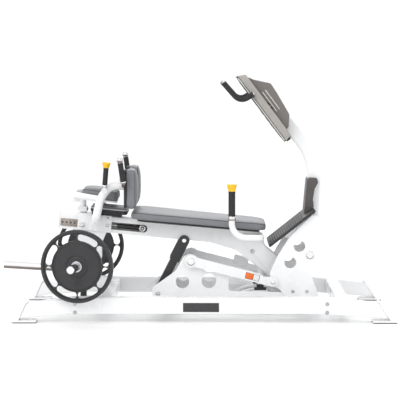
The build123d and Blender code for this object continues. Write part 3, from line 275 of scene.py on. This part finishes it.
def mesh_object(name, verts, faces, material, body, smooth=True):
    mesh = bpy.data.meshes.new(name)
    mesh.from_pydata(verts, [], faces)
    mesh.validate()
    shape = bpy.data.objects.new(name, mesh)
    bpy.context.scene.collection.objects.link(shape)
    mesh.materials.append(material)
    for polygon in mesh.polygons:
        polygon.use_smooth = smooth
    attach(shape, body)
    return shape


def frame_matrix(origin, axis, hint=(0, 1, 0)):
    """Matrix whose Z is axis, standing at origin."""
    z = Vector(axis).normalized()
    x = Vector(hint).cross(z)
    if x.length < 1e-3:
        x = Vector((1, 0, 0)).cross(z)
    x.normalize()
    y = z.cross(x)
    rotation = Matrix((x, y, z)).transposed().to_4x4()
    return Matrix.Translation(Vector(origin)) @ rotation


def lathe(name, profile, origin, axis, material, body, segments=40, sharp=35):
    """Turns a list of (radius, height) about an axis into a closed solid."""
    place = frame_matrix(origin, axis)
    verts, faces, rings = [], [], []
    for radius, height in profile:
        if radius < 1e-6:
            rings.append([len(verts)])
            verts.append(place @ Vector((0, 0, height)))
            continue
        ring = []
        for k in range(segments):
            angle = 2 * pi * k / segments
            ring.append(len(verts))
            verts.append(place @ Vector((radius * cos(angle), radius * sin(angle), height)))
        rings.append(ring)
    for lower, upper in zip(rings, rings[1:]):
        for k in range(segments):
            n = (k + 1) % segments
            if len(lower) == 1:
                faces.append((lower[0], upper[k], upper[n]))
            elif len(upper) == 1:
                faces.append((lower[k], lower[n], upper[0]))
            else:
                faces.append((lower[k], lower[n], upper[n], upper[k]))
    shape = mesh_object(name, verts, faces, material, body)
    tidy_mesh(shape)
    smooth_by_angle(shape, sharp)
    return shape


def tidy_mesh(shape):
    bm = bmesh.new()
    bm.from_mesh(shape.data)
    bmesh.ops.remove_doubles(bm, verts=bm.verts, dist=1e-6)
    bmesh.ops.recalc_face_normals(bm, faces=bm.faces)
    bm.to_mesh(shape.data)
    bm.free()


def smooth_by_angle(shape, degrees_limit):
    """Marks the edges sharper than the limit, so the rest shade smoothly."""
    bm = bmesh.new()
    bm.from_mesh(shape.data)
    for edge in bm.edges:
        faces = edge.link_faces
        if len(faces) == 2:
            edge.smooth = faces[0].normal.angle(faces[1].normal, 0) < radians(degrees_limit)
    for face in bm.faces:
        face.smooth = True
    bm.to_mesh(shape.data)
    bm.free()


def bevelled_box(name, size, place, material, body, bevel=0.002, segments=3):
    bm = bmesh.new()
    bmesh.ops.create_cube(bm, size=1)
    bmesh.ops.scale(bm, vec=size, verts=bm.verts)
    bmesh.ops.bevel(bm, geom=bm.edges[:], offset=bevel, segments=segments, affect="EDGES", profile=0.5)
    bmesh.ops.transform(bm, matrix=place, verts=bm.verts)
    mesh = bpy.data.meshes.new(name)
    bm.to_mesh(mesh)
    bm.free()
    shape = bpy.data.objects.new(name, mesh)
    bpy.context.scene.collection.objects.link(shape)
    mesh.materials.append(material)
    smooth_by_angle(shape, 40)
    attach(shape, body)
    return shape


def tube(name, points, radius, material, body, closed=False, resolution=6):
    """A round cord or bar through points, turned into a mesh."""
    curve = bpy.data.curves.new(name, "CURVE")
    curve.dimensions = "3D"
    curve.bevel_depth = radius
    curve.bevel_resolution = resolution
    curve.use_fill_caps = not closed
    spline = curve.splines.new("POLY")
    spline.points.add(len(points) - 1)
    for target, point in zip(spline.points, points):
        target.co = (*point, 1)
    spline.use_cyclic_u = closed
    holder = bpy.data.objects.new(name + "_path", curve)
    bpy.context.scene.collection.objects.link(holder)
    graph = bpy.context.evaluated_depsgraph_get()
    mesh = bpy.data.meshes.new_from_object(holder.evaluated_get(graph))
    bpy.data.objects.remove(holder)
    shape = bpy.data.objects.new(name, mesh)
    bpy.context.scene.collection.objects.link(shape)
    mesh.materials.clear()
    mesh.materials.append(material)
    for polygon in mesh.polygons:
        polygon.use_smooth = True
    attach(shape, body)
    return shape


def bolt(name, origin, axis, size, body, washer=1.9):
    """Button-head bolt with a round socket, on a washer, as one turned form."""
    head = size * 0.95
    profile = [
        (0, size * 0.22),
        (size * 0.36, size * 0.22),
        (size * 0.42, size * 0.68),
        (size * 0.60, size * 0.66),
        (head * 0.92, size * 0.40),
        (head, size * 0.20),
        (head, 0.0012),
        (washer * size * 0.62, 0.0012),
        (washer * size * 0.66, 0.0008),
        (washer * size * 0.66, 0),
        (0, 0),
    ]
    return lathe(name, profile, origin, axis, ZINC, body, segments=30)


# ---------------------------------------------------------------- sewn pads

OUTLINE_SPACING = 0.018
SEAM_SPACING = 0.008
WELT_INSET = 0.006
WELT_LEVEL = 0.93


def rounded_outline(corners, radius, steps=8):
    """Closed outline through rounded corners, evenly enough spaced for a cushion."""
    points = []
    count = len(corners)
    for k in range(count):
        before, here, after = (Vector(corners[(k + d) % count]) for d in (-1, 0, 1))
        into, out = (before - here).normalized(), (after - here).normalized()
        half = into.angle(out) / 2
        reach = radius / abs(sin(half) / cos(half))
        start, end = here + into * reach, here + out * reach
        centre = here + (into + out).normalized() * (radius / sin(half))
        a0 = atan2(start.y - centre.y, start.x - centre.x)
        a1 = atan2(end.y - centre.y, end.x - centre.x)
        turn = (a1 - a0 + pi) % (2 * pi) - pi
        for step in range(steps + 1):
            angle = a0 + turn * step / steps
            points.append(centre + radius * Vector((cos(angle), sin(angle))))
    return spread(points, OUTLINE_SPACING)


def spread(points, spacing):
    """Adds points along long runs so that no two neighbours are far apart."""
    dense = []
    for here, after in zip(points, points[1:] + points[:1]):
        pieces = max(1, round((after - here).length / spacing))
        dense += [here.lerp(after, step / pieces) for step in range(pieces)]
    return dense


def inset_ring(outline, amount):
    """The outline moved inwards along its own normals, or outwards where amount is negative."""
    ring = []
    count = len(outline)
    for k in range(count):
        along = (outline[(k + 1) % count] - outline[k - 1]).normalized()
        ring.append(outline[k] + Vector((-along.y, along.x)) * amount)
    return ring


def pad_shell(name, outline, thick, crown, place, body):
    """Closed cushion form: flat underside, slightly bulged sides, rounded rim and a crowned top."""
    low, side = 0.10, 0.45
    levels = [(0.010, 0.0), (0.002, 0.002), (0.0, thick * low), (-0.002, thick * side), (0.0, thick * 0.80)]
    levels += [(0.004, thick * 0.91), (0.011, thick * 0.975), (0.022, thick)]
    rings = [[(p.x, p.y, height) for p in inset_ring(outline, amount)] for amount, height in levels]
    centre = sum(outline, Vector((0, 0))) / len(outline)
    top = [Vector(p[:2]) for p in rings[-1]]
    for share in (0.84, 0.66, 0.46, 0.24):
        height = thick + crown * (1 - share * share)
        rings.append([(*(centre + (p - centre) * share), height) for p in top])
    verts = [place @ Vector(p) for ring in rings for p in ring]
    count = len(outline)
    faces = []
    for level in range(len(rings) - 1):
        for k in range(count):
            n = (k + 1) % count
            low_row, high_row = level * count, (level + 1) * count
            faces.append((low_row + k, low_row + n, high_row + n, high_row + k))
    verts.append(place @ Vector((*centre, thick + crown)))
    verts.append(place @ Vector((*centre, 0)))
    last = (len(rings) - 1) * count
    for k in range(count):
        n = (k + 1) % count
        faces.append((last + k, last + n, len(verts) - 2))
        faces.append((n, k, len(verts) - 1))
    shape = mesh_object(name, verts, faces, MATERIALS["grey_vinyl"], body)
    tidy_mesh(shape)
    return shape


def inflate(shape, place, voxel, cap, pressure=4.0, frames=20):
    """Cloth simulation of the stuffed cover; no point moves further than cap, none below the board."""
    scene = bpy.context.scene
    remesh = shape.modifiers.new("remesh", "REMESH")
    remesh.mode = "VOXEL"
    remesh.voxel_size = voxel
    apply_modifiers(shape)
    start = [v.co.copy() for v in shape.data.vertices]
    cloth = shape.modifiers.new("cloth", "CLOTH")
    cloth.settings.use_pressure = True
    cloth.settings.uniform_pressure_force = pressure
    cloth.settings.quality = 4
    cloth.settings.mass = 0.3
    cloth.settings.tension_stiffness = 18
    cloth.settings.bending_stiffness = 1.2
    cloth.settings.effector_weights.gravity = 0
    for frame_number in range(1, frames + 1):
        scene.frame_set(frame_number)
    apply_modifiers(shape)
    scene.frame_set(1)
    back = place.inverted()
    for vertex, origin in zip(shape.data.vertices, start):
        move = vertex.co - origin
        if move.length > cap:
            move = move.normalized() * cap
        local = back @ (origin + move)
        local.z = max(local.z, 0.0)
        vertex.co = place @ local


def apply_modifiers(shape):
    graph = bpy.context.evaluated_depsgraph_get()
    mesh = bpy.data.meshes.new_from_object(shape.evaluated_get(graph))
    old = shape.data
    shape.modifiers.clear()
    shape.data = mesh
    bpy.data.meshes.remove(old)
    for polygon in shape.data.polygons:
        polygon.use_smooth = True


def subdivide(shape, smooth_steps=2):
    relax = shape.modifiers.new("relax", "SMOOTH")
    relax.iterations = smooth_steps
    relax.factor = 0.4
    finer = shape.modifiers.new("finer", "SUBSURF")
    finer.levels = 1
    finer.render_levels = 1
    apply_modifiers(shape)


def seam(name, shape, outline, inset, height, place, body, radius=0.0019, sink=0.0006, material=STITCH):
    """Sewn welt that follows the cushion's surface at a given height."""
    tree = BVHTree.FromObject(shape, bpy.context.evaluated_depsgraph_get())
    points = []
    for p in inset_ring(spread(outline, SEAM_SPACING), inset):
        hit, normal, _, _ = tree.find_nearest(place @ Vector((p.x, p.y, height)))
        points.append(hit - normal * sink)
    return tube(name, points, radius, material, body, closed=True, resolution=3)


def painted_shade_skirt(shape, place, height):
    """Painted shade: the lower part of the cover gets dark vinyl, standing in for the pad's shaded underside
    and its dark backing.
    """
    shape.data.materials.append(SHADE_VINYL)
    back = place.inverted()
    for polygon in shape.data.polygons:
        if (back @ polygon.center).z < height:
            polygon.material_index = 1


def cushion(name, cad_nodes, corners, radius, thick, crown, place, body, voxel, cap, shade_share=0.0):
    """One upholstered pad with its welt, standing for its plain solid.

    crown is the extra height of the middle, voxel the size of the simulated mesh's cells, cap the furthest
    that the simulation may move a point, and the last argument the share of the height in dark vinyl, painted
    shade for the pad's shaded lower sides.
    """
    outline = rounded_outline(corners, radius)
    shell = pad_shell(name, outline, thick, crown, place, body)
    inflate(shell, place, voxel, cap)
    subdivide(shell)
    if cad_nodes:
        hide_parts(*cad_nodes)
    seam(name + "_welt", shell, outline, WELT_INSET, thick * WELT_LEVEL, place, body)
    # painted shade: dark vinyl on the lower sides of the cover, edged with light piping
    if shade_share:
        painted_shade_skirt(shell, place, shade_share * thick)
        seam(name + "_piping", shell, outline, 0.0, shade_share * thick, place, body, 0.0026, 0.0004, PIPING)
    return shell


def plane_matrix(origin, x_axis, normal):
    x = Vector(x_axis).normalized()
    z = Vector(normal).normalized()
    y = z.cross(x)
    rotation = Matrix((x, y, z)).transposed().to_4x4()
    return Matrix.Translation(Vector(origin)) @ rotation


BEAM_ALONG = Vector((cos(BEAM_SLOPE), 0, -sin(BEAM_SLOPE)))
BEAM_UP = Vector((sin(BEAM_SLOPE), 0, cos(BEAM_SLOPE)))
BEAM_ORIGIN = Vector((-0.109, 0, 0.4645))


def beam_place(u, v, y=0.0):
    """Matrix lying on the beam: X along it towards the foot plate, Z up from it."""
    origin = BEAM_ORIGIN + BEAM_ALONG * u + BEAM_UP * v + Vector((0, y, 0))
    return plane_matrix(origin, BEAM_ALONG, BEAM_UP)


def seat():
    """Long seat cushion that narrows towards the foot plate."""
    u0, u1, rear, front = -0.316, 0.544, 0.229, 0.181
    half = (u1 - u0) / 2
    corners = [(-half, -rear), (half, -front), (half, front), (-half, rear)]
    place = beam_place((u0 + u1) / 2, 0.1185)
    cushion(
        "seat_cushion", ["seat_pad"], corners, radius=0.058, thick=0.046, crown=0.008,
        place=place, body="bench", voxel=0.0085, cap=0.006
    )


def back_cushion():
    """Upper back pad whose lower sides are dark vinyl as painted shade, edged with light piping."""
    u0, u1, half_width = -0.577, -0.337, 0.111
    half = (u1 - u0) / 2
    corners = [(-half, -half_width), (half, -half_width), (half, half_width), (-half, half_width)]
    place = beam_place((u0 + u1) / 2, 0.1263)
    cushion(
        "upper_back_cushion", ["back_pad"], corners, radius=0.030, thick=0.041, crown=0.006,
        place=place, body="carriage", voxel=0.006, cap=0.004, shade_share=0.74
    )


def headrest():
    """Low crowned pad between the arms of the ring tube."""
    low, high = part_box("headrest_pad")
    along = Vector((cos(HEAD_SLOPE), 0, -sin(HEAD_SLOPE)))
    up = Vector((sin(HEAD_SLOPE), 0, cos(HEAD_SLOPE)))
    place = plane_matrix((-0.611, 0, 0.7223), along, up)
    half, half_width = 0.117, (high.y - low.y) / 2 - 0.003
    corners = [(-half, -half_width), (half, -half_width), (half, half_width), (-half, half_width)]
    cushion(
        "headrest_cushion", ["headrest_pad"], corners, radius=0.034, thick=0.060, crown=0.012,
        place=place, body="carriage", voxel=0.006, cap=0.006
    )


def shoulder_cushions():
    """Two tall pads, a little wider at the top, standing for one node."""
    low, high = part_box("shoulder_pads")
    tall = (high.z - low.z) / 2 - 0.003
    corners = [(-0.072, -tall), (0.072, -tall), (0.077, tall), (-0.077, tall)]
    for name, sign in SIDES:
        middle = (low.x + 0.0003, sign * SHOULDER_Y, (low.z + high.z) / 2)
        place = plane_matrix(middle, (0, 1, 0), (1, 0, 0))
        replaced = ["shoulder_pads"] if name == "near" else []
        cushion(
            f"shoulder_cushion_{name}", replaced, corners, radius=0.028, thick=0.062, crown=0.008,
            place=place, body="carriage", voxel=0.006, cap=0.006
        )


# ---------------------------------------------------------------- levers, handles and grips

CAP_PROFILE = (
    (0, 0), (0.66, 0), (0.71, 0.10), (0.80, 0.34), (0.93, 0.62), (1.0, 0.80), (0.985, 0.92), (0.90, 0.985),
    (0.60, 1.02), (0, 1.035),
)


def lever_cap(name, base, along, radius, height, body, node):
    """Yellow end cap: narrow neck, wide band and a softly domed top."""
    profile = [(r * radius, h * height) for r, h in CAP_PROFILE]
    cap = lathe(name, profile, base, along, MATERIALS["cap_yellow"], body, segments=48, sharp=70)
    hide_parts(node)


def foam_grip(name, start, end, radius, body, ribs=16):
    """Ribbed sleeve with a plain band at each end."""
    start, end = Vector(start), Vector(end)
    length = (end - start).length
    profile = [(0, 0), (radius * 0.93, 0), (radius * 1.02, 0.0015), (radius * 1.02, 0.009), (radius, 0.0105)]
    room = length - 0.021
    for k in range(ribs):
        low = 0.0105 + room * k / ribs
        profile += [(radius, low + room / ribs * 0.72), (radius * 0.965, low + room / ribs * 0.86)]
    profile += [(radius, length - 0.0105), (radius * 1.02, length - 0.009), (radius * 1.02, length - 0.0015)]
    profile += [(radius * 0.93, length), (0, length)]
    return lathe(name, profile, start, end - start, MATERIALS["grip_black"], body, segments=40, sharp=60)


def left_lever():
    """Cap, grip and collar of the lever at the user's left shoulder."""
    base, along = LEFT_PIVOT, (LEFT_TOP - LEFT_PIVOT).normalized()
    length = (LEFT_TOP - LEFT_PIVOT).length
    neck = length - 0.024
    lever_cap("left_cap", base + along * neck, along, 0.0268, 0.0355, "left_lever", "left_lever_cap")
    grip = foam_grip("left_grip", base + along * length * 0.22, base + along * neck, 0.0163, "left_lever")
    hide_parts("left_lever_grip")
    collar = [(0, 0), (0.0172, 0), (0.0186, 0.0015), (0.0186, 0.0055), (0.0176, 0.007), (0.0176, 0.009)]
    collar.append((0, 0.009))
    lathe("left_collar", collar, base + along * 0.026, along, MATERIALS["chrome"], "left_lever")


def right_lever():
    """Cap, grip and collar of the lever beside the seat."""
    up = Vector((0, 0, 1))
    lever_cap("right_cap", RIGHT_GRIP_TOP, up, 0.0308, 0.0445, "right_lever", "right_lever_cap")
    grip = foam_grip("right_grip", RIGHT_GRIP_FOOT, RIGHT_GRIP_TOP, 0.0216, "right_lever")
    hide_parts("right_lever_grip")
    collar = [(0, 0), (0.0235, 0), (0.0248, 0.002), (0.0248, 0.022), (0.0235, 0.0245), (0, 0.0245)]
    lathe("right_collar", collar, RIGHT_GRIP_FOOT - up * 0.0255, up, MATERIALS["chrome"], "right_lever")


BALL_PROFILE = (
    (0, -0.0225), (0.0150, -0.0225), (0.0162, -0.0205), (0.0162, -0.0150), (0.0150, -0.0135),
    (0.0190, -0.0075), (0.0206, -0.0005), (0.0202, 0.0070), (0.0172, 0.0140), (0.0105, 0.0188),
    (0, 0.0204),
)


def shoulder_handle_trim():
    """Chrome knob above and collar below each ribbed grip."""
    for name, sign in SIDES:
        corner = Vector((-0.445, sign * HANDLE_Y, 0.826))
        top = Vector((-0.468, sign * HANDLE_Y, 0.985))
        along = (top - corner).normalized()
        lathe(
            f"handle_knob_{name}", BALL_PROFILE, top, along, MATERIALS["chrome"], "carriage", segments=48,
            sharp=60
        )
        start, end = corner + along * 0.028, top - along * 0.0225
        foam_grip(f"shoulder_grip_{name}", start, end, 0.0171, "carriage")
        ring = [(0, 0), (0.0150, 0), (0.0178, 0.003), (0.0178, 0.010), (0.0160, 0.0115), (0, 0.0115)]
        lathe(f"handle_ring_{name}", ring, corner + along * 0.0165, along, MATERIALS["chrome"], "carriage")


def hand_bar_trim():
    """End plug on each console hand bar."""
    for name, sign in SIDES:
        top = Vector((0.171, sign * HAND_BAR_Y, 1.463))
        second = Vector((0.277, sign * HAND_BAR_Y, 1.343))
        along = (top - second).normalized()
        plug = [(0, 0), (0.0176, 0), (0.0186, 0.002), (0.0186, 0.008), (0.0150, 0.0112), (0, 0.0120)]
        lathe(f"bar_plug_{name}", plug, top - along * 0.001, along, MATERIALS["chrome"], "base")


# ---------------------------------------------------------------- fasteners and welds

def weld(name, origin, axis, radius, body):
    """Rounded weld bead round the foot of a tube."""
    inner = radius - 0.002
    bead = [(inner, -0.001), (radius + 0.0035, 0.0002), (radius + 0.0030, 0.0026), (radius + 0.0008, 0.0038)]
    bead.append((inner, 0.0040))
    lathe(name, bead + bead[:1], origin, axis, MATERIALS["frame_white"], body, sharp=80)


def fasteners():
    """Bolts of the rails, side plates, gussets, saddle and headrest clamp, and the arms' welds."""
    for name, sign in SIDES:
        side = RAIL_SIDE * sign
        for level, height in (("upper", 0.118), ("lower", 0.066)):
            bolt(f"rail_bolt_{name}_{level}", (-0.736, side, height), (0, sign, 0), 0.010, "base")
            bolt(f"rail_front_bolt_{name}_{level}", (0.806, side, height), (0, sign, 0), 0.010, "base")
        bolt(f"gusset_bolt_{name}", (0.360, sign * 0.0605, 0.390), (0, sign, 0), 0.012, "bench")
        for k, (x, z) in enumerate(((0.612, 0.150), (0.700, 0.150), (0.640, 0.560))):
            bolt(f"upright_bolt_{name}_{k}", (x, sign * 0.1802, z), (0, sign, 0), 0.009, "base")
        for k, x in enumerate((-0.170, -0.080)):
            bolt(f"bracket_bolt_{name}_{k}", (x, sign * 0.1702, 0.075), (0, sign, 0), 0.009, "base")
        weld(f"arm_weld_{name}", (-0.632, sign * 0.0625, 0.592), (0, sign, 0), 0.026, "carriage")
        for k, u in enumerate((-0.625, -0.460)):
            place = beam_place(u, 0.094, sign * 0.0625)
            bolt(f"saddle_screw_{name}_{k}", place.translation, (0, sign, 0), 0.006, "carriage")
    bolt("clamp_bolt_rear", (-0.7482, 0, 0.657), (-1, 0, 0), 0.010, "carriage", 2.6)
    bolt("clamp_bolt_front", (-0.6958, 0, 0.657), (1, 0, 0), 0.010, "carriage", 2.6)


def spring_eye():
    """Rod-end eye and its bolt at the closed end of the spring slot."""
    centre = beam_place(-0.238, 0.047, -0.0505).translation
    ring = [(0.0120, 0), (0.0205, 0), (0.0212, 0.002), (0.0205, 0.007), (0.0180, 0.0085), (0.0135, 0.0085)]
    ring += [(0.0120, 0.006), (0.0120, 0)]
    lathe("spring_eye", ring, centre, (0, -1, 0), MATERIALS["chrome"], "bench", sharp=60)
    bolt("spring_eye_bolt", centre, (0, -1, 0), 0.010, "bench", 1.2)


# ---------------------------------------------------------------- discs, foot plate, labels, console

def raised_text(name, text, size, place, depth, material, body):
    curve = bpy.data.curves.new(name, "FONT")
    curve.body = text
    curve.size = size
    curve.extrude = depth
    curve.bevel_depth = 0.0004
    curve.align_x = "CENTER"
    curve.align_y = "CENTER"
    holder = bpy.data.objects.new(name + "_path", curve)
    bpy.context.scene.collection.objects.link(holder)
    graph = bpy.context.evaluated_depsgraph_get()
    mesh = bpy.data.meshes.new_from_object(holder.evaluated_get(graph))
    bpy.data.objects.remove(holder)
    mesh.transform(place)
    mesh.materials.clear()
    mesh.materials.append(material)
    shape = bpy.data.objects.new(name, mesh)
    bpy.context.scene.collection.objects.link(shape)
    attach(shape, body)
    return shape


def disc_details():
    """A raised weight number and two raised beads on the outer face of each disc."""
    enamel = MATERIALS["disc_black"]
    for name, sign in SIDES:
        body = f"disc_{name}"
        out = Vector((-sin(HORN_SPLAY), sign * cos(HORN_SPLAY), 0))
        side = Vector((0, 0, 1)).cross(out)
        centre = DISC_CENTRE + Vector((0, sign * DISC_Y, 0))
        place = plane_matrix(centre + out * 0.0132 + Vector((0, 0, -0.100)), side, out)
        raised_text(f"disc_number_{name}", "20", 0.052, place, 0.0016, enamel, body)
        for k, radius in enumerate((0.068, 0.142)):
            bead = [(radius - 0.003, 0), (radius - 0.002, 0.002), (radius, 0.0028), (radius + 0.002, 0.002)]
            bead += [(radius + 0.003, 0), (radius - 0.003, 0)]
            foot = centre + out * 0.0128
            lathe(f"disc_bead_{name}_{k}", bead, foot, out, enamel, body, segments=96, sharp=80)
        sleeve = [(0.0252, 0), (0.0330, 0), (0.0330, 0.0018), (0.0310, 0.0030), (0.0252, 0.0030), (0.0252, 0)]
        foot = centre + out * 0.0186
        lathe(f"disc_sleeve_{name}", sleeve, foot, out, ZINC, body, segments=64, sharp=50)


def foot_plate_ribs():
    """Raised grip ribs across the foot plate's tread."""
    low, high = Vector((0.460, 0, 0.437)), Vector((0.749, 0, 0.665))
    along = (high - low).normalized()
    up = Vector((-along.z, 0, along.x))
    spacing, count = 0.0165, 16
    for k in range(count):
        place = plane_matrix(low + along * (0.026 + spacing * k) + up * 0.0094, along, up)
        bevelled_box(f"tread_rib_{k}", (0.0050, 0.376, 0.0032), place, MATERIALS["rubber"], "base", 0.0012, 2)


def panel(name, centre, x_axis, normal, size, material, body, bevel=0.0008):
    place = plane_matrix(centre, x_axis, normal)
    return bevelled_box(name, size, place, material, body, bevel, 2)


def labels():
    """Blank badge on the near rail and blank stickers on the near tie bar."""
    out = Vector((0, -1, 0))
    badge = (0.035, -RAIL_SIDE - 0.0008, 0.097)
    panel("rail_badge", badge, (1, 0, 0), out, (0.220, 0.056, 0.0024), BADGE, "base")
    slope = atan2(0.214 - 0.343, 0.486 + 0.030)
    along = Vector((cos(slope), 0, sin(slope)))
    face = Vector((-0.030, -0.2066, 0.343))
    for name, reach, size, material in (
        ("sticker_edge", 0.398, (0.090, 0.040, 0.0010), BADGE),
        ("sticker_orange", 0.378, (0.046, 0.036, 0.0016), ORANGE),
        ("sticker_white", 0.422, (0.036, 0.036, 0.0016), LABEL_WHITE),
    ):
        panel(name, face + along * reach, along, out, size, material, "base", 0.0003)
    size = (0.098, 0.062, 0.030)
    panel("tie_box", (0.292, 0.190, 0.300), along, (0, 1, 0), size, MATERIALS["frame_white"], "base", 0.006)


def rear_stop():
    """Rubber block on a tongue that reaches back from the rear cross tube."""
    place = Matrix.Translation((-0.664, 0, 0.087))
    bevelled_box("rear_stop_tongue", (0.160, 0.056, 0.010), place, MATERIALS["frame_white"], "base", 0.002)
    place = Matrix.Translation((-0.7235, 0, 0.112))
    bevelled_box("rear_stop", (0.037, 0.060, 0.042), place, MATERIALS["rubber"], "base", 0.004)


def console_details():
    """Blank instrument panel, edge strips, ribs and latches of the housing, and a rubber foot."""
    down = (CONSOLE_FOOT - CONSOLE_TOP).normalized()
    front = Vector((down.z, 0, -down.x))
    middle = (CONSOLE_TOP + CONSOLE_FOOT) / 2
    spot = middle + front * 0.0010
    panel("console_panel", spot, down, front, (0.430, 0.330, 0.0030), BADGE, "base", 0.0014)
    spot = middle - down * 0.100 + front * 0.0030
    panel("console_display", spot, down, front, (0.150, 0.240, 0.0016), GLASS, "base")
    key = [(0, 0), (0.0150, 0), (0.0150, 0.0012), (0.0135, 0.0022), (0, 0.0026)]
    for row in range(3):
        for column in range(4):
            across = Vector((0, -0.105 + 0.070 * column, 0))
            spot = middle + down * (0.035 + 0.050 * row) + front * 0.0026 + across
            name = f"console_key_{row}_{column}"
            lathe(name, key, spot, front, MATERIALS["console_grey"], "base", segments=28)
    latch = Vector((0.463, 0, 1.316))
    for name, sign in SIDES:
        side = Vector((0, sign, 0))
        edge = middle - front * 0.006 + side * 0.1922
        size = (0.486, 0.0060, 0.0022)
        panel(f"console_edge_{name}", edge, down, side, size, HOUSING_LIGHT, "base", 0.0009)
        size = (0.150, 0.0060, 0.0044)
        for k, depth in enumerate((0.076, 0.098)):
            spot = middle - down * 0.005 - front * depth + side * 0.1502
            panel(f"housing_rib_{name}_{k}", spot, down, side, size, HOUSING_LIGHT, "base", 0.0018)
        size = (0.046, 0.018, 0.010)
        dark = MATERIALS["console_black"]
        panel(f"console_latch_{name}", latch + side * 0.1535, down, side, size, dark, "base", 0.003)
        bolt(f"console_latch_pin_{name}", latch + side * 0.1585, side, 0.0045, "base", 1.4)
    place = plane_matrix(CONSOLE_FOOT - front * 0.030 + down * 0.004, down, front)
    bevelled_box("console_foot", (0.020, 0.200, 0.030), place, MATERIALS["rubber"], "base", 0.004)


# ---------------------------------------------------------------- stage and camera

def sweep():
    """Pale floor that curves up into a backdrop behind the machine."""
    material, _, shader = new_material("pale_floor")
    shader.inputs["Base Color"].default_value = (0.97, 0.97, 0.97, 1)
    shader.inputs["Roughness"].default_value = 0.65
    reach, far, bend, steps = 30, 7.0, 6.0, 24
    line = [(-30.0, 0.0)]
    for k in range(steps + 1):
        angle = pi / 2 * k / steps
        line.append((far + bend * sin(angle), bend * (1 - cos(angle))))
    line.append((far + bend, 24.0))
    verts = [(x, y, z) for y, z in line for x in (-reach, reach)]
    faces = [(2 * k, 2 * k + 1, 2 * k + 3, 2 * k + 2) for k in range(len(line) - 1)]
    mesh = bpy.data.meshes.new("floor")
    mesh.from_pydata(verts, [], faces)
    for polygon in mesh.polygons:
        polygon.use_smooth = True
    floor = bpy.data.objects.new("floor", mesh)
    bpy.context.scene.collection.objects.link(floor)
    mesh.materials.append(material)


def stage():
    sweep()
    world = bpy.data.worlds.new("studio")
    bpy.context.scene.world = world
    world.use_nodes = True
    background = world.node_tree.nodes["Background"]
    background.inputs["Color"].default_value = (0.985, 0.99, 1.0, 1)
    background.inputs["Strength"].default_value = 1.08
    lights = (
        ("key", (-2.6, -4.2, 4.6), 3.4, 95, (1.0, 0.985, 0.96)),
        ("rim", (0.5, 4.2, 3.6), 3.0, 60, (1.0, 1.0, 1.0)),
    )
    for name, spot, size, power, tint in lights:
        lamp = bpy.data.lights.new(name, "AREA")
        lamp.shape = "SQUARE"
        lamp.size = size
        lamp.energy = power
        lamp.color = tint
        holder = bpy.data.objects.new(name, lamp)
        bpy.context.scene.collection.objects.link(holder)
        holder.location = spot
        aim = Vector((0, 0, 0.6)) - Vector(spot)
        holder.rotation_euler = aim.to_track_quat("-Z", "Y").to_euler()


def camera():
    """Long-lens side view from slightly above."""
    data = bpy.data.cameras.new("camera")
    data.lens = 134.6
    data.sensor_width = 36
    data.clip_end = 100
    holder = bpy.data.objects.new("camera", data)
    bpy.context.scene.collection.objects.link(holder)
    holder.location = (0.095, -9.520, 1.597)
    holder.rotation_euler = (radians(90 - 5.31), 0, radians(0.42))
    bpy.context.scene.camera = holder
    bpy.context.scene.view_settings.view_transform = "Standard"


# ---------------------------------------------------------------- build

paint_frame()
seat()
back_cushion()
headrest()
shoulder_cushions()
left_lever()
right_lever()
shoulder_handle_trim()
hand_bar_trim()
fasteners()
spring_eye()
disc_details()
foot_plate_ribs()
labels()
rear_stop()
console_details()
stage()
camera()

bpy.context.view_layer.update()
